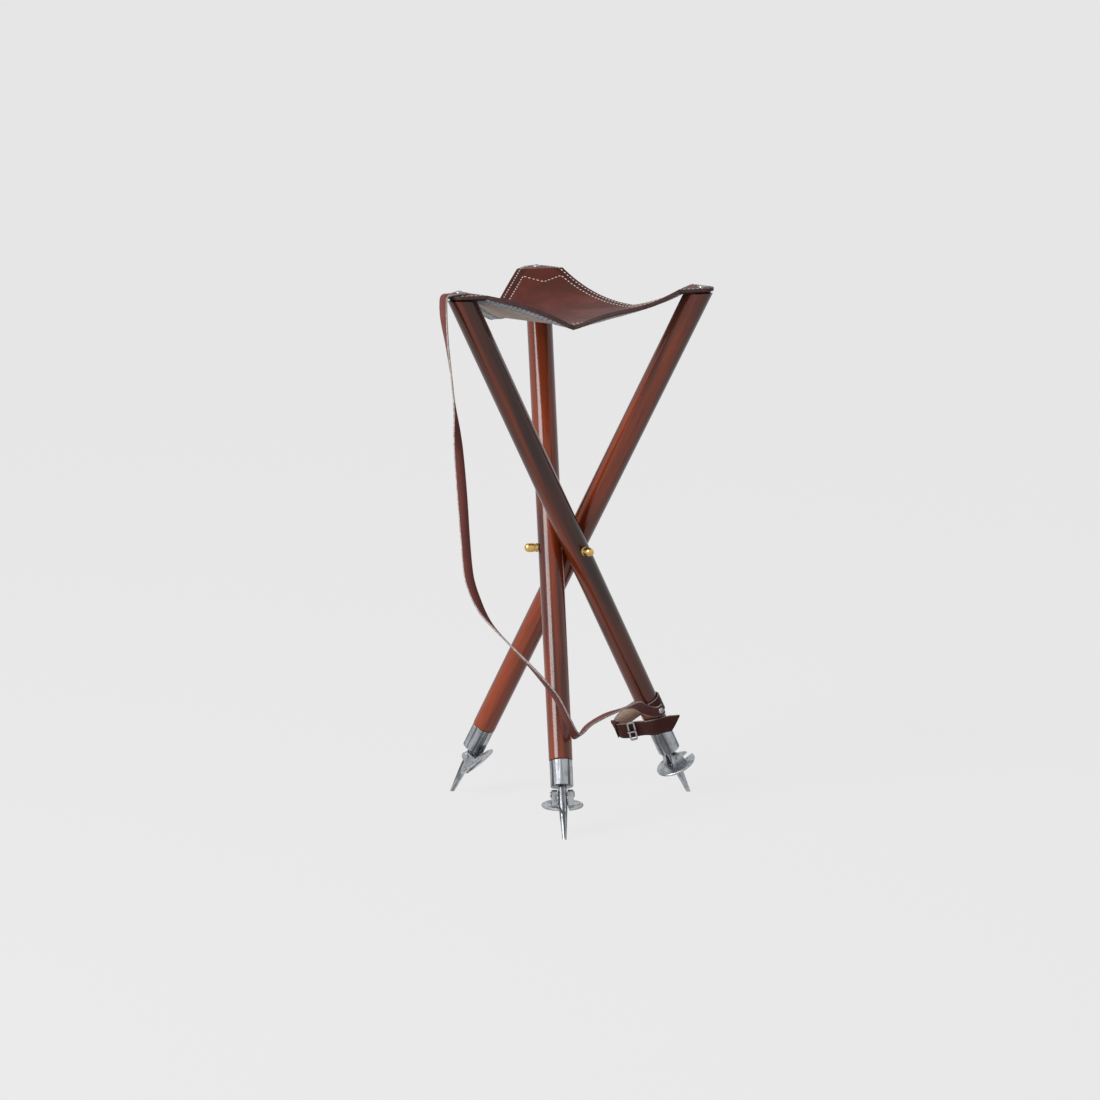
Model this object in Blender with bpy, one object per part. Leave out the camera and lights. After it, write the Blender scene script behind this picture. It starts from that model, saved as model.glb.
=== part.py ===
"""Folding tripod stool: three crossing wooden legs on a three-way stud, a leather seat,
spiked feet with swinging ground plates, a carrying strap and a closing strap.

Metres, +Z up. The stool is modelled about its stud and then stood on the floor."""

import math

import bmesh
import bpy
from mathutils import Matrix, Vector

FIT_GAP = 0.0003

# Legs: round tapered rods, each hinged on one arm of the stud
SPLAY = math.radians(27.5)
LEG_OFFSET = 0.0192
ROD_ABOVE = 0.338
ROD_BELOW = 0.2545
ROD_TOP_R = 0.015
ROD_END_R = 0.0135
ROD_EDGE = 0.0008
LEG_TURNS = {"a": math.radians(300), "b": math.radians(60), "c": math.radians(180)}

# Three-way stud and its cap nuts
STUD_R = 0.003
STUD_BOSS_R = 0.0042
NUT_R = 0.0052
NUT_LEN = 0.0155
NUT_BORE = 0.0095
THREAD_LEN = 0.0085

# Ferrule, spike and pivot pin
FERRULE_R = 0.013
FERRULE_LEN = 0.030
FERRULE_WALL = 0.0015
FERRULE_FLOOR = 0.003
FERRULE_EDGE = 0.0008
SPIKE_LEN = 0.0615
SPIKE_NECK_R = 0.0050
SPIKE_TIP_R = 0.0024
SPIKE_STUD_R = 0.0032
SPIKE_STUD_LEN = 0.024
NECK_LEN = 0.026
PIN_DROP = 0.009
PIN_R = 0.002
PIN_HEAD_R = 0.0033
PIN_HEAD_H = 0.0012

# Swinging ground plate: slotted disc with two lugs
PLATE_R = 0.0238
PLATE_T = 0.003
PLATE_EDGE = 0.0008
PLATE_DROP = 0.0125
SLOT_GAP = 0.0009
LUG_T = 0.0065
LUG_TOP_R = 0.0052
LUG_BASE = 0.0085
PLATE_SWINGS = {"a": math.radians(0), "b": math.radians(70), "c": math.radians(28)}

# Leather seat: corner tabs on the rods, sloping flaps and a dished middle panel
SEAT_T = 0.0035
PATCH_T = 0.002
PATCH_INSET = 0.004
CORNER_HALF = 0.0189
CORNER_OUT = 0.0175
CORNER_ROUND = 0.011
TAB_IN = 0.0155
SEAT_SAG = 0.039
SEAT_BELLY = 0.005
FLAP_ARCH = 0.25

# Seat screws and the strap screw
SCREW_R = 0.002
SCREW_LEN = 0.021
SCREW_OUT = 0.004
SCREW_HEAD_R = 0.0046
SCREW_HEAD_H = 0.0022
STRAP_SCREW_LEN = 0.014
STRAP_SCREW_HEAD_R = 0.0036

# Straps, in leather of one thickness
STRAP_T = 0.0022
CARRY_WIDTH = 0.012
CLOSE_WIDTH = 0.020
CLOSE_TIP = 0.012
STRAP_SCREW_DOWN = 0.226
STRAP_SCREW_TURN = math.radians(5)
CLOSE_RISE = 0.0045
CLOSE_DROP = 0.0213
LOOP_TURN = math.radians(57)

# Buckle and keeper on the closing strap
BUCKLE_LEN = 0.0092
BUCKLE_WIDE = 0.0242
BUCKLE_BAR = 0.0018
BUCKLE_ROUND = 0.0024
PRONG_W = 0.0018
PRONG_T = 0.0012
EYE_WALL = 0.0008
BUCKLE_AT = 0.698
KEEPER_T = 0.0016
KEEPER_AT = 0.556
KEEPER_SPAN = 3

# Hand-laid line of the carrying strap about the stud (millimetres), each with the way its width lies
CARRY_ROUTE = (
    ((-122.0, -92.0, 307.3), (0.60, -0.80, 0.0)),
    ((-130.3, -98.2, 307.3), (0.60, -0.80, 0.0)),
    ((-138.4, -104.3, 307.3), (0.60, -0.80, 0.0)),
    ((-143.5, -108.2, 307.4), (0.60, -0.80, 0.0)),
    ((-146.6, -110.6, 304.8), (0.60, -0.80, 0.0)),
    ((-147.4, -111.2, 298.5), (0.60, -0.80, 0.0)),
    ((-147.4, -111.5, 290.5), (0.60, -0.80, 0.0)),
    ((-146.8, -112.6, 279.0), (0.50, -0.87, 0.0)),
    ((-143.8, -113.5, 253.0), (0.15, -0.99, 0.0)),
    ((-139.7, -114.0, 219.0), (-0.05, -1.0, 0.0)),
    ((-136.5, -114.5, 185.0), (-0.12, -0.99, 0.0)),
    ((-132.4, -115.5, 134.0), (-0.85, -0.50, 0.0)),
    ((-128.8, -117.0, 83.0), (-0.95, -0.30, 0.0)),
    ((-125.8, -119.0, 32.0), (-0.90, -0.45, 0.0)),
    ((-123.3, -121.0, -2.0), (-0.90, -0.42, 0.0)),
    ((-120.1, -122.5, -19.0), (-0.85, -0.50, 0.0)),
    ((-114.2, -124.0, -36.0), (-0.80, -0.60, 0.0)),
    ((-105.9, -126.0, -53.0), (-0.55, -0.82, 0.1)),
    ((-93.3, -129.0, -70.0), (-0.20, -0.96, 0.2)),
    ((-71.7, -133.0, -93.0), (-0.10, -0.94, 0.3)),
    ((-46.2, -137.0, -121.0), (0.10, -0.90, 0.4)),
    ((-25.9, -137.0, -147.5), (0.30, -0.82, 0.5)),
    ((-12.6, -134.0, -175.5), (0.45, -0.75, 0.45)),
    ((-4.0, -126.0, -193.0), (0.42, -0.75, 0.5)),
    ((2.5, -114.5, -197.5), (0.45, -0.72, 0.5)),
    ((14.5, -97.0, -190.0), (0.65, -0.65, 0.3)),
    ((32.5, -72.0, -186.0), (0.75, -0.6, 0.15)),
    ((51.4, -45.0, -185.0), (0.75, -0.6, 0.2)),
    ((77.0, -11.5, -185.5), (0.5, -0.5, 0.7)),
    ((87.7, 4.6, -193.5), (0.0, -0.3, 0.95)),
    ((97.0, 14.0, -199.0), (-0.40, -0.23, 0.89)),
    ((105.2, 18.4, -200.8), (-0.40, -0.23, 0.89)),
    ((110.1, 20.8, -199.7), (-0.40, -0.23, 0.89)),
    ((113.7, 24.2, -197.8), (-0.40, -0.23, 0.89)),
)
CARRY_STEPS = 2

# Hand-laid loop of the closing strap round the rod: right, back (millimetres) and share of the drop
CLOSE_ROUTE = (
    (1.1, -15.2, 0.0),
    (6.0, -14.0, 0.0),
    (10.3, -11.2, 0.0),
    (13.5, -7.1, 0.0),
    (15.1, -2.2, 0.0),
    (14.9, 3.2, 0.02),
    (12.9, 8.4, 0.05),
    (7.6, 13.4, 0.10),
    (-2.0, 15.4, 0.16),
    (-14.0, 15.8, 0.24),
    (-28.0, 13.6, 0.36),
    (-39.0, 9.6, 0.50),
    (-44.6, 4.6, 0.62),
    (-43.4, -0.6, 0.72),
    (-36.0, -3.6, 0.82),
    (-26.0, -4.6, 0.90),
    (-17.6, -7.0, 0.95),
    (-10.0, -12.2, 0.98),
    (0.0, -16.0, 1.0),
    (9.5, -15.8, 1.08),
    (19.0, -14.2, 1.20),
    (27.0, -11.6, 1.30),
)
CLOSE_STEPS = 3

SIDES_ROD = 32
SIDES_SMALL = 20
SIDES_HOLE = 16
SIDES_PLATE = 40

LOOKS = {
    "wood": ((0.20, 0.045, 0.018), 0.22, 0.0),
    "aluminium": ((0.72, 0.73, 0.75), 0.34, 1.0),
    "brass": ((0.72, 0.50, 0.16), 0.25, 1.0),
    "steel": ((0.56, 0.57, 0.58), 0.30, 1.0),
    "seat_leather": ((0.085, 0.030, 0.022), 0.48, 0.0),
    "patch_leather": ((0.10, 0.085, 0.085), 0.70, 0.0),
    "strap_leather": ((0.13, 0.050, 0.034), 0.50, 0.0),
}


def rod_r(z):
    """Rod radius at a height along its axis, measured from the stud."""
    share = (z + ROD_BELOW) / (ROD_ABOVE + ROD_BELOW)
    return ROD_END_R + (ROD_TOP_R - ROD_END_R) * share


# Places that several pieces share, along a rod's axis from the stud
FERRULE_END = -(ROD_BELOW + FERRULE_LEN)
FERRULE_FLOOR_TOP = FERRULE_END + FERRULE_FLOOR
TENON_R = FERRULE_R - FERRULE_WALL - FIT_GAP
TENON_END = FERRULE_FLOOR_TOP + FIT_GAP
SPIKE_TIP = FERRULE_END - SPIKE_LEN
PIN_AT = FERRULE_END - PIN_DROP
NUT_SEAT = LEG_OFFSET + rod_r(0.0) + FIT_GAP
SLOT_HALF = SPIKE_NECK_R + SLOT_GAP
LUG_OUTER = SLOT_HALF + LUG_T
UP_IN_LEG = Vector((0.0, math.sin(SPLAY), math.cos(SPLAY)))

# Seat layout about the stud's axis
CORNER_R = math.hypot(LEG_OFFSET, ROD_ABOVE * math.sin(SPLAY))
CORNER_TURN = math.atan2(-ROD_ABOVE * math.sin(SPLAY), LEG_OFFSET)
SEAT_INRADIUS = (CORNER_R + CORNER_HALF / math.tan(math.radians(30))) / 2
TAB_BASE = PATCH_T + 2 * FIT_GAP
TAB_TOP = TAB_BASE + SEAT_T
SEAT_TOP = ROD_ABOVE * math.cos(SPLAY) + TAB_TOP
PANEL_TWIST = math.radians(90) + CORNER_TURN
PANEL_REACH = SEAT_INRADIUS / math.cos(PANEL_TWIST)
PANEL_INRADIUS = PANEL_REACH / 2
PANEL_TOP = SEAT_TOP - SEAT_SAG


def seat_half_width(out, inradius):
    """Half the seat's width at a distance from its middle towards a corner."""
    return (2 * inradius - out) * math.tan(math.radians(30))


def clear_scene():
    for obj in list(bpy.data.objects):
        bpy.data.objects.remove(obj, do_unlink=True)


def make_materials():
    made = {}
    for name, (colour, roughness, metallic) in LOOKS.items():
        material = bpy.data.materials.new(name)
        material.use_nodes = True
        shader = material.node_tree.nodes["Principled BSDF"]
        shader.inputs["Base Color"].default_value = (*colour, 1.0)
        shader.inputs["Roughness"].default_value = roughness
        shader.inputs["Metallic"].default_value = metallic
        made[name] = material
    return made


def empty(name, parent, matrix):
    obj = bpy.data.objects.new(name, None)
    obj.empty_display_size = 0.02
    bpy.context.scene.collection.objects.link(obj)
    obj.parent = parent
    obj.matrix_basis = matrix
    return obj


def as_mesh(name, bm, material):
    bmesh.ops.recalc_face_normals(bm, faces=bm.faces)
    mesh = bpy.data.meshes.new(name)
    bm.to_mesh(mesh)
    bm.free()
    mesh.materials.append(material)
    mesh.shade_smooth()
    mesh.set_sharp_from_angle(angle=math.radians(35))
    return mesh


def place(name, mesh, parent, matrix=None):
    obj = bpy.data.objects.new(name, mesh)
    bpy.context.scene.collection.objects.link(obj)
    obj.parent = parent
    obj.matrix_basis = matrix or Matrix.Identity(4)
    return obj


def turned(profile, sides, ring=False):
    """A solid turned about Z from (radius, height) points; a ring's profile closes on itself."""
    bm = bmesh.new()
    verts = [bm.verts.new((r, 0.0, z)) for r, z in profile]
    ends = verts[1:] + verts[:1] if ring else verts[1:]
    edges = [bm.edges.new(pair) for pair in zip(verts, ends)]
    bmesh.ops.spin(
        bm,
        geom=verts + edges,
        cent=(0, 0, 0),
        axis=(0, 0, 1),
        angle=math.tau,
        steps=sides,
        use_merge=True,
    )
    bmesh.ops.remove_doubles(bm, verts=bm.verts, dist=1e-6)
    bmesh.ops.recalc_face_normals(bm, faces=bm.faces)
    return bm


def cylinder(radius, start, end, sides):
    return turned(((0, start), (radius, start), (radius, end), (0, end)), sides)


def moved(bm, matrix):
    bmesh.ops.transform(bm, matrix=matrix, verts=bm.verts)
    return bm


def rounded(corners, steps=5):
    """Outline through (x, y, radius) corners, each turned into an arc."""
    outline = []
    for i, (x, y, radius) in enumerate(corners):
        here = Vector((x, y))
        before = (Vector(corners[i - 1][:2]) - here).normalized()
        after = (Vector(corners[(i + 1) % len(corners)][:2]) - here).normalized()
        if radius <= 0:
            outline.append(here)
            continue
        half = before.angle(after) / 2
        middle = here + (before + after).normalized() * radius / math.sin(half)
        start = here + before * radius / math.tan(half) - middle
        sweep = math.pi - 2 * half
        if before.cross(after) > 0:
            sweep = -sweep
        for k in range(steps + 1):
            outline.append(middle + Matrix.Rotation(sweep * k / steps, 2) @ start)
    return outline


def extruded(outline, low, high):
    bm = bmesh.new()
    face = bm.faces.new([bm.verts.new((x, y, low)) for x, y in outline])
    grown = bmesh.ops.extrude_face_region(bm, geom=[face])
    top = [v for v in grown["geom"] if isinstance(v, bmesh.types.BMVert)]
    bmesh.ops.translate(bm, verts=top, vec=(0, 0, high - low))
    bmesh.ops.recalc_face_normals(bm, faces=bm.faces)
    return bm


def combined(bm, tool, operation):
    """The solid after a Boolean with another one."""
    helpers = []
    for shape in (bm, tool):
        mesh = bpy.data.meshes.new("helper")
        shape.to_mesh(mesh)
        shape.free()
        helpers.append(place("helper", mesh, None))
    modifier = helpers[0].modifiers.new("combine", "BOOLEAN")
    modifier.operation = operation
    modifier.object = helpers[1]
    modifier.solver = "EXACT"
    bpy.context.view_layer.update()
    result = bmesh.new()
    result.from_object(helpers[0], bpy.context.evaluated_depsgraph_get())
    for obj in helpers:
        mesh = obj.data
        bpy.data.objects.remove(obj)
        bpy.data.meshes.remove(mesh)
    bmesh.ops.remove_doubles(result, verts=result.verts, dist=1e-6)
    return result


def cut_level(bm, height, above):
    """Cuts a leg piece level with the ground at a height on its axis."""
    cut = bmesh.ops.bisect_plane(
        bm,
        geom=bm.verts[:] + bm.edges[:] + bm.faces[:],
        plane_co=(0, 0, height),
        plane_no=UP_IN_LEG,
        clear_outer=above,
        clear_inner=not above,
    )
    rim = [e for e in cut["geom_cut"] if isinstance(e, bmesh.types.BMEdge)]
    bmesh.ops.edgeloop_fill(bm, edges=rim)
    return bm


ACROSS = Matrix.Rotation(math.radians(90), 4, "Y")


def screw_hole(depth):
    return cylinder(SCREW_R + FIT_GAP, -depth, depth, SIDES_HOLE)


def seat_screw_place():
    """Frame of a corner's screw on its rod: level, moved out from the rod's axis."""
    turn = Matrix.Rotation(-SPLAY, 4, "X") @ Matrix.Rotation(CORNER_TURN, 4, "Z")
    return turn @ Matrix.Translation((SCREW_OUT, 0, 0))


def strap_screw_place():
    """Frame of the strap screw, about a rod's axis: Z points out of the wood."""
    return (
        Matrix.Translation((0, 0, -STRAP_SCREW_DOWN))
        @ Matrix.Rotation(STRAP_SCREW_TURN, 4, "Z")
        @ ACROSS
    )


def rod(strap_hole):
    """Tapered rod: level top, tenon for the ferrule, bores for stud, spike and screws."""
    bore_r = SPIKE_STUD_R + FIT_GAP
    bore_end = FERRULE_END + SPIKE_STUD_LEN + FIT_GAP
    over = ROD_ABOVE + 2 * ROD_TOP_R
    profile = (
        (0, bore_end),
        (bore_r, bore_end),
        (bore_r, TENON_END),
        (TENON_R, TENON_END),
        (TENON_R, -ROD_BELOW),
        (ROD_END_R - ROD_EDGE, -ROD_BELOW),
        (ROD_END_R, -ROD_BELOW + ROD_EDGE),
        (rod_r(over), over),
        (0, over),
    )
    bm = cut_level(turned(profile, SIDES_ROD), ROD_ABOVE, True)
    reach = 2 * ROD_TOP_R
    stud_hole = moved(cylinder(STUD_R + FIT_GAP, -reach, reach, SIDES_HOLE), ACROSS)
    bm = combined(bm, stud_hole, "DIFFERENCE")
    top = Matrix.Translation((0, 0, ROD_ABOVE)) @ seat_screw_place()
    bm = combined(bm, moved(screw_hole(SCREW_LEN - TAB_TOP), top), "DIFFERENCE")
    if strap_hole:
        depth = rod_r(-STRAP_SCREW_DOWN) - STRAP_SCREW_LEN
        pilot = cylinder(SCREW_R + FIT_GAP, depth, reach, SIDES_HOLE)
        bm = combined(bm, moved(pilot, strap_screw_place()), "DIFFERENCE")
    return bm


def ferrule():
    hole = SPIKE_STUD_R + FIT_GAP
    inner = FERRULE_R - FERRULE_WALL
    top = -ROD_BELOW - FIT_GAP
    profile = (
        (hole, FERRULE_END),
        (FERRULE_R - FERRULE_EDGE, FERRULE_END),
        (FERRULE_R, FERRULE_END + FERRULE_EDGE),
        (FERRULE_R, top),
        (inner, top),
        (inner, FERRULE_FLOOR_TOP),
        (hole, FERRULE_FLOOR_TOP),
    )
    return turned(profile, SIDES_ROD, ring=True)


def spike():
    """Threaded stud, round neck with a pin hole, and a blunt point cut level."""
    neck_top = FERRULE_END - FIT_GAP
    neck_end = FERRULE_END - NECK_LEN
    over = SPIKE_TIP - 2 * SPIKE_TIP_R
    profile = (
        (0, FERRULE_END + SPIKE_STUD_LEN),
        (SPIKE_STUD_R, FERRULE_END + SPIKE_STUD_LEN),
        (SPIKE_STUD_R, neck_top),
        (SPIKE_NECK_R, neck_top),
        (SPIKE_NECK_R, neck_end),
        (SPIKE_TIP_R, SPIKE_TIP),
        (SPIKE_TIP_R, over),
        (0, over),
    )
    bm = cut_level(turned(profile, SIDES_SMALL), SPIKE_TIP, False)
    hole = cylinder(PIN_R + FIT_GAP, -2 * SPIKE_NECK_R, 2 * SPIKE_NECK_R, SIDES_HOLE)
    hole = moved(hole, Matrix.Translation((0, 0, PIN_AT)) @ ACROSS)
    return combined(bm, hole, "DIFFERENCE")


def pin():
    """Headed cross pin through both lugs and the spike's neck, along Z."""
    shoulder = LUG_OUTER + FIT_GAP
    end = shoulder + PIN_HEAD_H
    profile = (
        (0, -end),
        (PIN_HEAD_R, -end),
        (PIN_HEAD_R, -shoulder),
        (PIN_R, -shoulder),
        (PIN_R, shoulder),
        (PIN_HEAD_R, shoulder),
        (PIN_HEAD_R, end),
        (0, end),
    )
    return turned(profile, SIDES_HOLE)


def lug():
    """One upright lug: round top about the pin, flared foot sunk into the disc, along Z."""
    foot = PLATE_DROP
    apart = math.hypot(LUG_BASE, foot)
    lean = math.atan2(LUG_BASE, foot) + math.acos(LUG_TOP_R / apart)
    steps = 12
    outline = [(-LUG_BASE, -foot), (LUG_BASE, -foot)]
    for k in range(steps + 1):
        turn = -math.pi / 2 + lean + (math.tau - 2 * lean) * k / steps
        outline.append((LUG_TOP_R * math.cos(turn), LUG_TOP_R * math.sin(turn)))
    return extruded(outline, SLOT_HALF, LUG_OUTER)


def foot_plate():
    """Slotted disc with two lugs, about the pin: X along the pin, Y to the open end of the slot."""
    top = -PLATE_DROP + PLATE_T / 2
    bottom = -PLATE_DROP - PLATE_T / 2
    profile = (
        (0, bottom),
        (PLATE_R - PLATE_EDGE, bottom),
        (PLATE_R, bottom + PLATE_EDGE),
        (PLATE_R, top - PLATE_EDGE),
        (PLATE_R - PLATE_EDGE, top),
        (0, top),
    )
    bm = turned(profile, SIDES_PLATE)
    far = 2 * PLATE_R
    steps = 10
    slot = [(SLOT_HALF, far), (-SLOT_HALF, far)]
    for k in range(steps + 1):
        turn = math.pi + math.pi * k / steps
        slot.append((SLOT_HALF * math.cos(turn), SLOT_HALF * math.sin(turn)))
    bm = combined(bm, extruded(slot, 2 * bottom, 0), "DIFFERENCE")
    upright = Matrix(((0, 0, 1, 0), (1, 0, 0, 0), (0, 1, 0, 0), (0, 0, 0, 1)))
    facing = Matrix.Rotation(math.pi, 4, "Z")
    bm = combined(bm, moved(lug(), upright), "UNION")
    bm = combined(bm, moved(lug(), facing @ upright), "UNION")
    hole = moved(cylinder(PIN_R + FIT_GAP, -2 * LUG_OUTER, 2 * LUG_OUTER, SIDES_HOLE), ACROSS)
    return combined(bm, hole, "DIFFERENCE")


def stud():
    """Boss with three arms, one to each rod."""
    end = NUT_SEAT + THREAD_LEN
    bm = bmesh.new()
    bmesh.ops.create_icosphere(bm, subdivisions=2, radius=STUD_BOSS_R)
    for turn in LEG_TURNS.values():
        arm = moved(cylinder(STUD_R, 0, end, SIDES_HOLE), ACROSS)
        bm = combined(bm, moved(arm, Matrix.Rotation(turn, 4, "Z")), "UNION")
    return bm


def cap_nut():
    """Round domed cap nut standing on its open end, along Z."""
    bore = STUD_R + FIT_GAP
    dome = 7
    profile = [(0, NUT_BORE), (bore, NUT_BORE), (bore, 0), (NUT_R, 0)]
    for k in range(dome):
        turn = math.pi / 2 * k / dome
        profile.append((NUT_R * math.cos(turn), NUT_LEN - NUT_R + NUT_R * math.sin(turn)))
    profile.append((0, NUT_LEN))
    return turned(profile, SIDES_SMALL)


def screw(length, head_r):
    """Round-headed wood screw: head up along Z, seated at the origin."""
    dome = 5
    profile = [(0, -length), (SCREW_R / 2, -length + SCREW_R), (SCREW_R, -length + 3 * SCREW_R)]
    profile += [(SCREW_R, 0), (head_r, 0)]
    for k in range(1, dome):
        turn = math.pi / 2 * k / dome
        profile.append((head_r * math.cos(turn), SCREW_HEAD_H * math.sin(turn)))
    profile.append((0, SCREW_HEAD_H))
    return turned(profile, SIDES_SMALL)


def corner_layer(inset, low, high):
    """One level leather layer of a seat corner, about the rod's top, X outwards."""
    inradius = SEAT_INRADIUS - inset
    out = CORNER_OUT - inset
    wide = seat_half_width(CORNER_R - TAB_IN, inradius)
    end = seat_half_width(CORNER_R + out, inradius)
    round_r = min(CORNER_ROUND - inset / 2, 0.9 * end)
    corners = (
        (-TAB_IN, -wide, 0),
        (out, -end, round_r),
        (out, end, round_r),
        (-TAB_IN, wide, 0),
    )
    bm = extruded(rounded(corners), low, high)
    hole = moved(screw_hole(4 * high), Matrix.Translation((SCREW_OUT, 0, 0)))
    return combined(bm, hole, "DIFFERENCE")


def thick_sheet(rows, thickness):
    """Closed sheet under rows of points, with upright edges."""
    bm = bmesh.new()
    grid = [[bm.verts.new(p) for p in row] for row in rows]
    for near, far in zip(grid, grid[1:]):
        if len(far) == len(near):
            for k in range(len(near) - 1):
                bm.faces.new((near[k], near[k + 1], far[k + 1], far[k]))
            continue
        for k in range(len(far)):
            bm.faces.new((near[k], near[k + 1], far[k]))
        for k in range(len(far) - 1):
            bm.faces.new((near[k + 1], far[k + 1], far[k]))
    grown = bmesh.ops.extrude_face_region(bm, geom=bm.faces[:])
    under = [v for v in grown["geom"] if isinstance(v, bmesh.types.BMVert)]
    bmesh.ops.translate(bm, verts=under, vec=(0, 0, -thickness))
    bmesh.ops.recalc_face_normals(bm, faces=bm.faces)
    return bm


def seat_flap():
    """Sloping flap from the panel's side to a tab, X towards the corner, top at zero by the tab."""
    end = CORNER_R - TAB_IN - FIT_GAP
    wide = seat_half_width(end, SEAT_INRADIUS)
    along, across = 8, 10
    rows = []
    for i in range(along + 1):
        share = i / along
        rise = share * (1 + FLAP_ARCH * (1 - share))
        sides = []
        for way in (-1, 1):
            turn = -PANEL_TWIST + way * math.radians(60)
            foot = Vector((PANEL_REACH * math.cos(turn), PANEL_REACH * math.sin(turn)))
            side = foot.lerp(Vector((end, way * wide)), share)
            sides.append(Vector((side.x, side.y - way * FIT_GAP, -SEAT_SAG * (1 - rise))))
        rows.append([sides[0].lerp(sides[1], k / across) for k in range(across + 1)])
    return thick_sheet(rows, SEAT_T)


def seat_panel():
    """Dished middle panel: a triangle, points on the seat's edges and sides along the stud's arms."""
    steps = 12
    reach = PANEL_REACH - 2 * FIT_GAP
    turns = [turn - math.radians(30) for turn in LEG_TURNS.values()]
    points = [Vector((reach * math.cos(t), reach * math.sin(t))) for t in turns]
    rows = []
    for i in range(steps + 1):
        row = []
        for k in range(steps + 1 - i):
            share = ((steps - i - k) / steps, k / steps, i / steps)
            flat = sum((p * s for p, s in zip(points, share)), Vector((0, 0)))
            belly = -27 * SEAT_BELLY * share[0] * share[1] * share[2]
            row.append((flat.x, flat.y, belly))
        rows.append(row)
    return thick_sheet(rows, SEAT_T)


def smooth_line(points, steps):
    """Points along a smooth curve through the given ones."""
    line = []
    for i in range(len(points) - 1):
        p0 = points[max(i - 1, 0)]
        p1, p2 = points[i], points[i + 1]
        p3 = points[min(i + 2, len(points) - 1)]
        for k in range(steps):
            t = k / steps
            bend = (p2 - p0) * t + (2 * p0 - 5 * p1 + 4 * p2 - p3) * t * t
            line.append(p1 + (bend + (3 * p1 - p0 - 3 * p2 + p3) * t**3) / 2)
    return line + [points[-1]]


def ribbon_frames(line, sides):
    """(middle, tangent, width way, face way) at each point of a strap's line."""
    frames = []
    for i, middle in enumerate(line):
        ahead = line[min(i + 1, len(line) - 1)] - line[max(i - 1, 0)]
        ahead.normalize()
        side = sides[i] - ahead * sides[i].dot(ahead)
        side.normalize()
        frames.append((middle, ahead, side, ahead.cross(side)))
    return frames


def ribbon(frames, width, thickness, tip=0.0):
    """A flat strap along its frames, drawn in to a point over the tip's length."""
    bm = bmesh.new()
    left = 0.0
    rings = []
    last = frames[-1][0]
    for middle, _, side, face in reversed(frames):
        left += (middle - last).length
        last = middle
        half = width / 2
        if left < tip:
            half *= 0.3 + 0.7 * math.sin(math.pi / 2 * left / tip)
        flat = ((-1, -1), (1, -1), (1, 1), (-1, 1))
        at = [middle + side * half * a + face * thickness / 2 * b for a, b in flat]
        rings.append([bm.verts.new(p) for p in at])
    for near, far in zip(rings, rings[1:]):
        for k in range(4):
            bm.faces.new((near[k], near[k - 1], far[k - 1]))
            bm.faces.new((near[k], far[k - 1], far[k]))
    bm.faces.new(rings[0])
    bm.faces.new(reversed(rings[-1]))
    bmesh.ops.recalc_face_normals(bm, faces=bm.faces)
    return bm


def carry_frames():
    points = [Vector(p) * 0.001 for p, _ in CARRY_ROUTE]
    sides = [Vector(s) for _, s in CARRY_ROUTE]
    return ribbon_frames(smooth_line(points, CARRY_STEPS), smooth_line(sides, CARRY_STEPS))


def close_frames():
    """Frames of the closing strap about the rod's axis."""
    points = []
    for right, back, drop in CLOSE_ROUTE:
        flat = Matrix.Rotation(LOOP_TURN, 2) @ Vector((right, back)) * 0.001
        level = CLOSE_RISE - STRAP_SCREW_DOWN - CLOSE_DROP * drop
        points.append(Vector((flat.x, flat.y, level)))
    line = smooth_line(points, CLOSE_STEPS)
    return ribbon_frames(line, [Vector((0, 0, 1))] * len(line))


def on_strap(frames, share, lift):
    """Frame on a strap's outer face: X along it, Y across, Z outwards, lifted off its middle."""
    middle, ahead, side, face = frames[round(share * (len(frames) - 1))]
    axes = Matrix((ahead, side, face)).transposed().to_4x4()
    return Matrix.Translation(middle + face * lift) @ axes


def buckle_frame():
    half, wide = BUCKLE_LEN / 2, BUCKLE_WIDE / 2
    bar = BUCKLE_BAR
    outer = ((half, wide), (-half, wide), (-half, -wide), (half, -wide))
    inner = [(x - math.copysign(bar, x), y - math.copysign(bar, y)) for x, y in outer]
    inner_r = max(BUCKLE_ROUND - bar, 0.2 * bar)
    bm = extruded(rounded([(x, y, BUCKLE_ROUND) for x, y in outer]), -bar / 2, bar / 2)
    hole = extruded(rounded([(x, y, inner_r) for x, y in inner]), -bar, bar)
    return combined(bm, hole, "DIFFERENCE")


def eye_r():
    """Inner radius of the prong's eye, clear of the corners of the buckle's bar."""
    return BUCKLE_BAR / math.sqrt(2) + FIT_GAP


def buckle_prong():
    """Eye round the buckle's bar and a tongue that lies on the far bar, about the eye's axis."""
    outer = eye_r() + EYE_WALL
    half = PRONG_W / 2
    bm = moved(cylinder(outer, -half, half, SIDES_SMALL), Matrix.Rotation(math.pi / 2, 4, "X"))
    low = BUCKLE_BAR / 2 + FIT_GAP
    reach = BUCKLE_LEN - BUCKLE_BAR / 2
    tongue = extruded(
        rounded(((0, -half, 0), (reach, -half, half * 0.8), (reach, half, half * 0.8), (0, half, 0))),
        low,
        low + PRONG_T,
    )
    bm = combined(bm, tongue, "UNION")
    hole = moved(cylinder(eye_r(), -2 * half, 2 * half, SIDES_SMALL), Matrix.Rotation(math.pi / 2, 4, "X"))
    return combined(bm, hole, "DIFFERENCE")


def keeper(frames):
    """Leather band that follows the closing strap over a few steps of its line."""
    first = round(KEEPER_AT * (len(frames) - 1))
    last = first + KEEPER_SPAN
    inner_w, inner_t = CLOSE_WIDTH + 2 * FIT_GAP, STRAP_T + 2 * FIT_GAP
    band = ribbon(frames[first : last + 1], inner_w + 2 * KEEPER_T, inner_t + 2 * KEEPER_T)
    room = ribbon(frames[first - 1 : last + 2], inner_w, inner_t)
    return combined(band, room, "DIFFERENCE")


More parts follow.
